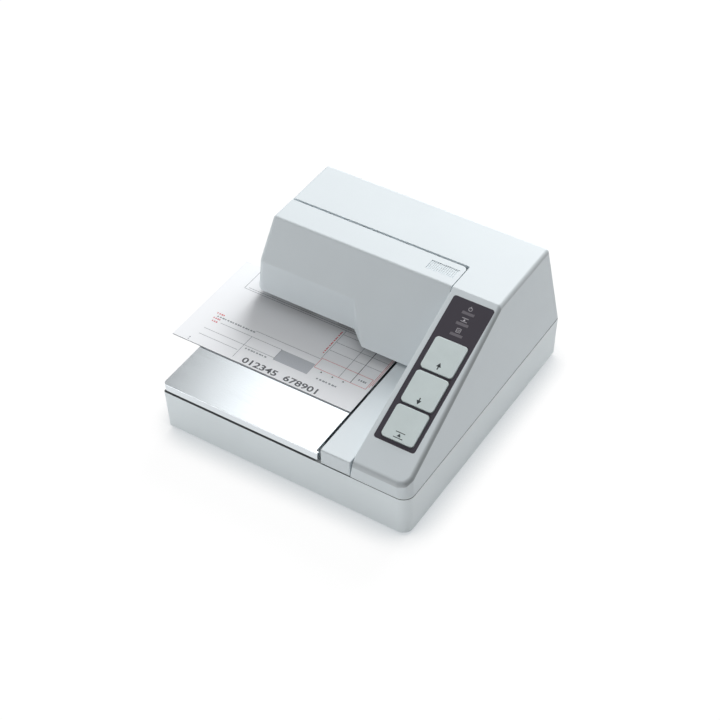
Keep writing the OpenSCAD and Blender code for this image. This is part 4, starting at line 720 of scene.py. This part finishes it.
class PRINTER_OT_stage(Operator):
    """Makes the floor, the lights and the camera"""
    bl_idname = "printer.stage"
    bl_label = "Stage"

    def execute(self, context):
        look = context.scene.printer_stage
        shape = bmesh.new()
        bmesh.ops.create_grid(shape, x_segments=1, y_segments=1, size=6)
        mesh = bpy.data.meshes.new("floor")
        shape.to_mesh(mesh)
        shape.free()
        floor = bpy.data.objects.new("floor", mesh)
        context.scene.collection.objects.link(floor)
        f = Finish("floor_white")
        rays = f.node("ShaderNodeLightPath")
        seen = rays.out("Is Camera Ray") + rays.out("Is Glossy Ray") + rays.out("Is Transmission Ray")
        lit = f.node("ShaderNodeBsdfDiffuse", None, Color=look.floor)
        # Painted shadow: for camera rays the floor's glow darkens where ambient occlusion finds the printer
        # close by, a contact shadow drawn into its colour
        near = f.node("ShaderNodeAmbientOcclusion", {"samples": 12}, Distance=0.024).out("AO")
        outside_painted_shadow = ((near - 0.47) / 0.42).clamp()
        pale = f.node("ShaderNodeBsdfDiffuse", None, Color=[0.08] * 3)
        glow_with_painted_shadow = f.node("ShaderNodeEmission", None, Color=f.mix(outside_painted_shadow, [0.58, 0.61, 0.63], [0.95] * 3),
                      Strength=1.0)
        both = f.node("ShaderNodeAddShader", None, pale.out(), glow_with_painted_shadow.out())
        last = f.node("ShaderNodeMixShader", None, seen.clamp(), lit.out(), both.out())
        f.tree.links.new(last.node.outputs[0], f.output.inputs["Surface"])
        floor.data.materials.append(f.material)

        world = bpy.data.worlds.new("studio")
        context.scene.world = world
        world.use_nodes = True
        tree = world.node_tree
        tree.nodes.clear()
        path = tree.nodes.new("ShaderNodeLightPath")
        sky = tree.nodes.new("ShaderNodeBackground")
        sky.inputs["Strength"].default_value = look.sky
        white = tree.nodes.new("ShaderNodeBackground")
        white.inputs["Strength"].default_value = 1.0
        blend = tree.nodes.new("ShaderNodeMixShader")
        out = tree.nodes.new("ShaderNodeOutputWorld")
        for node in (sky, white):
            node.inputs["Color"].default_value = (1, 1, 1, 1)
        tree.links.new(path.outputs["Is Camera Ray"], blend.inputs[0])
        tree.links.new(sky.outputs[0], blend.inputs[1])
        tree.links.new(white.outputs[0], blend.inputs[2])
        tree.links.new(blend.outputs[0], out.inputs["Surface"])

        for name, place, power, size in (("rear_light", (-0.25, 3.22, 2.26), look.rear, 2.2),
                                         ("table_light", (-0.312, 0.84, 1.294), look.table, 1.0),
                                         ("fill_light", (-0.70, -1.30, 0.25), look.fill, 0.9)):
            lamp = bpy.data.lights.new(name, "AREA")
            lamp.shape = "DISK"
            lamp.size = size
            lamp.energy = power
            holder = bpy.data.objects.new(name, lamp)
            holder.location = place
            holder.rotation_euler = (-Vector(place)).to_track_quat("-Z", "Y").to_euler()
            context.scene.collection.objects.link(holder)

        camera = bpy.data.cameras.new("camera")
        camera.lens = look.lens
        camera.sensor_width = 36
        camera.shift_x = -0.00644
        camera.shift_y = -0.03086
        camera.clip_start = 0.05
        camera.clip_end = 50
        holder = bpy.data.objects.new("camera", camera)
        right = Vector((0.8453446, 0.5340159, -0.0148121))
        up = Vector((-0.3569541, 0.5852509, 0.7280557))
        ahead = Vector((-0.3974621, 0.6101707, -0.6853579))
        turn = Matrix((right, up, -ahead)).transposed().to_4x4()
        holder.matrix_world = Matrix.Translation(Vector((0.4540771, -0.6802742, 0.8110997))) @ turn
        context.scene.collection.objects.link(holder)
        context.scene.camera = holder
        context.scene.view_settings.view_transform = "Standard"
        return {"FINISHED"}


class PRINTER_PT_sidebar(Panel):
    """Lists the pieces of the printer"""
    bl_label = "Slip Printer"
    bl_idname = "PRINTER_PT_sidebar"
    bl_space_type = "VIEW_3D"
    bl_region_type = "UI"
    bl_category = "Printer"

    def draw(self, context):
        for name, look in LOOKS.items():
            box = self.layout.box()
            for prop in look.__annotations__:
                box.prop(getattr(context.scene, name), prop)
        for operator in OPERATORS:
            self.layout.operator(operator.bl_idname)


OPERATORS = (PRINTER_OT_case, PRINTER_OT_cover, PRINTER_OT_table, PRINTER_OT_slip, PRINTER_OT_panel,
             PRINTER_OT_keys, PRINTER_OT_mechanism, PRINTER_OT_ribbon, PRINTER_OT_electronics,
             PRINTER_OT_stage)
CLASSES = (*LOOKS.values(), *OPERATORS, PRINTER_PT_sidebar)


def register():
    for cls in CLASSES:
        bpy.utils.register_class(cls)
    for name, look in LOOKS.items():
        setattr(bpy.types.Scene, name, PointerProperty(type=look))


def unregister():
    for name in LOOKS:
        delattr(bpy.types.Scene, name)
    for cls in reversed(CLASSES):
        bpy.utils.unregister_class(cls)


def main():
    register()
    for operator in OPERATORS:
        group, name = operator.bl_idname.split(".")
        getattr(getattr(bpy.ops, group), name)()


if __name__ == "__main__":
    main()
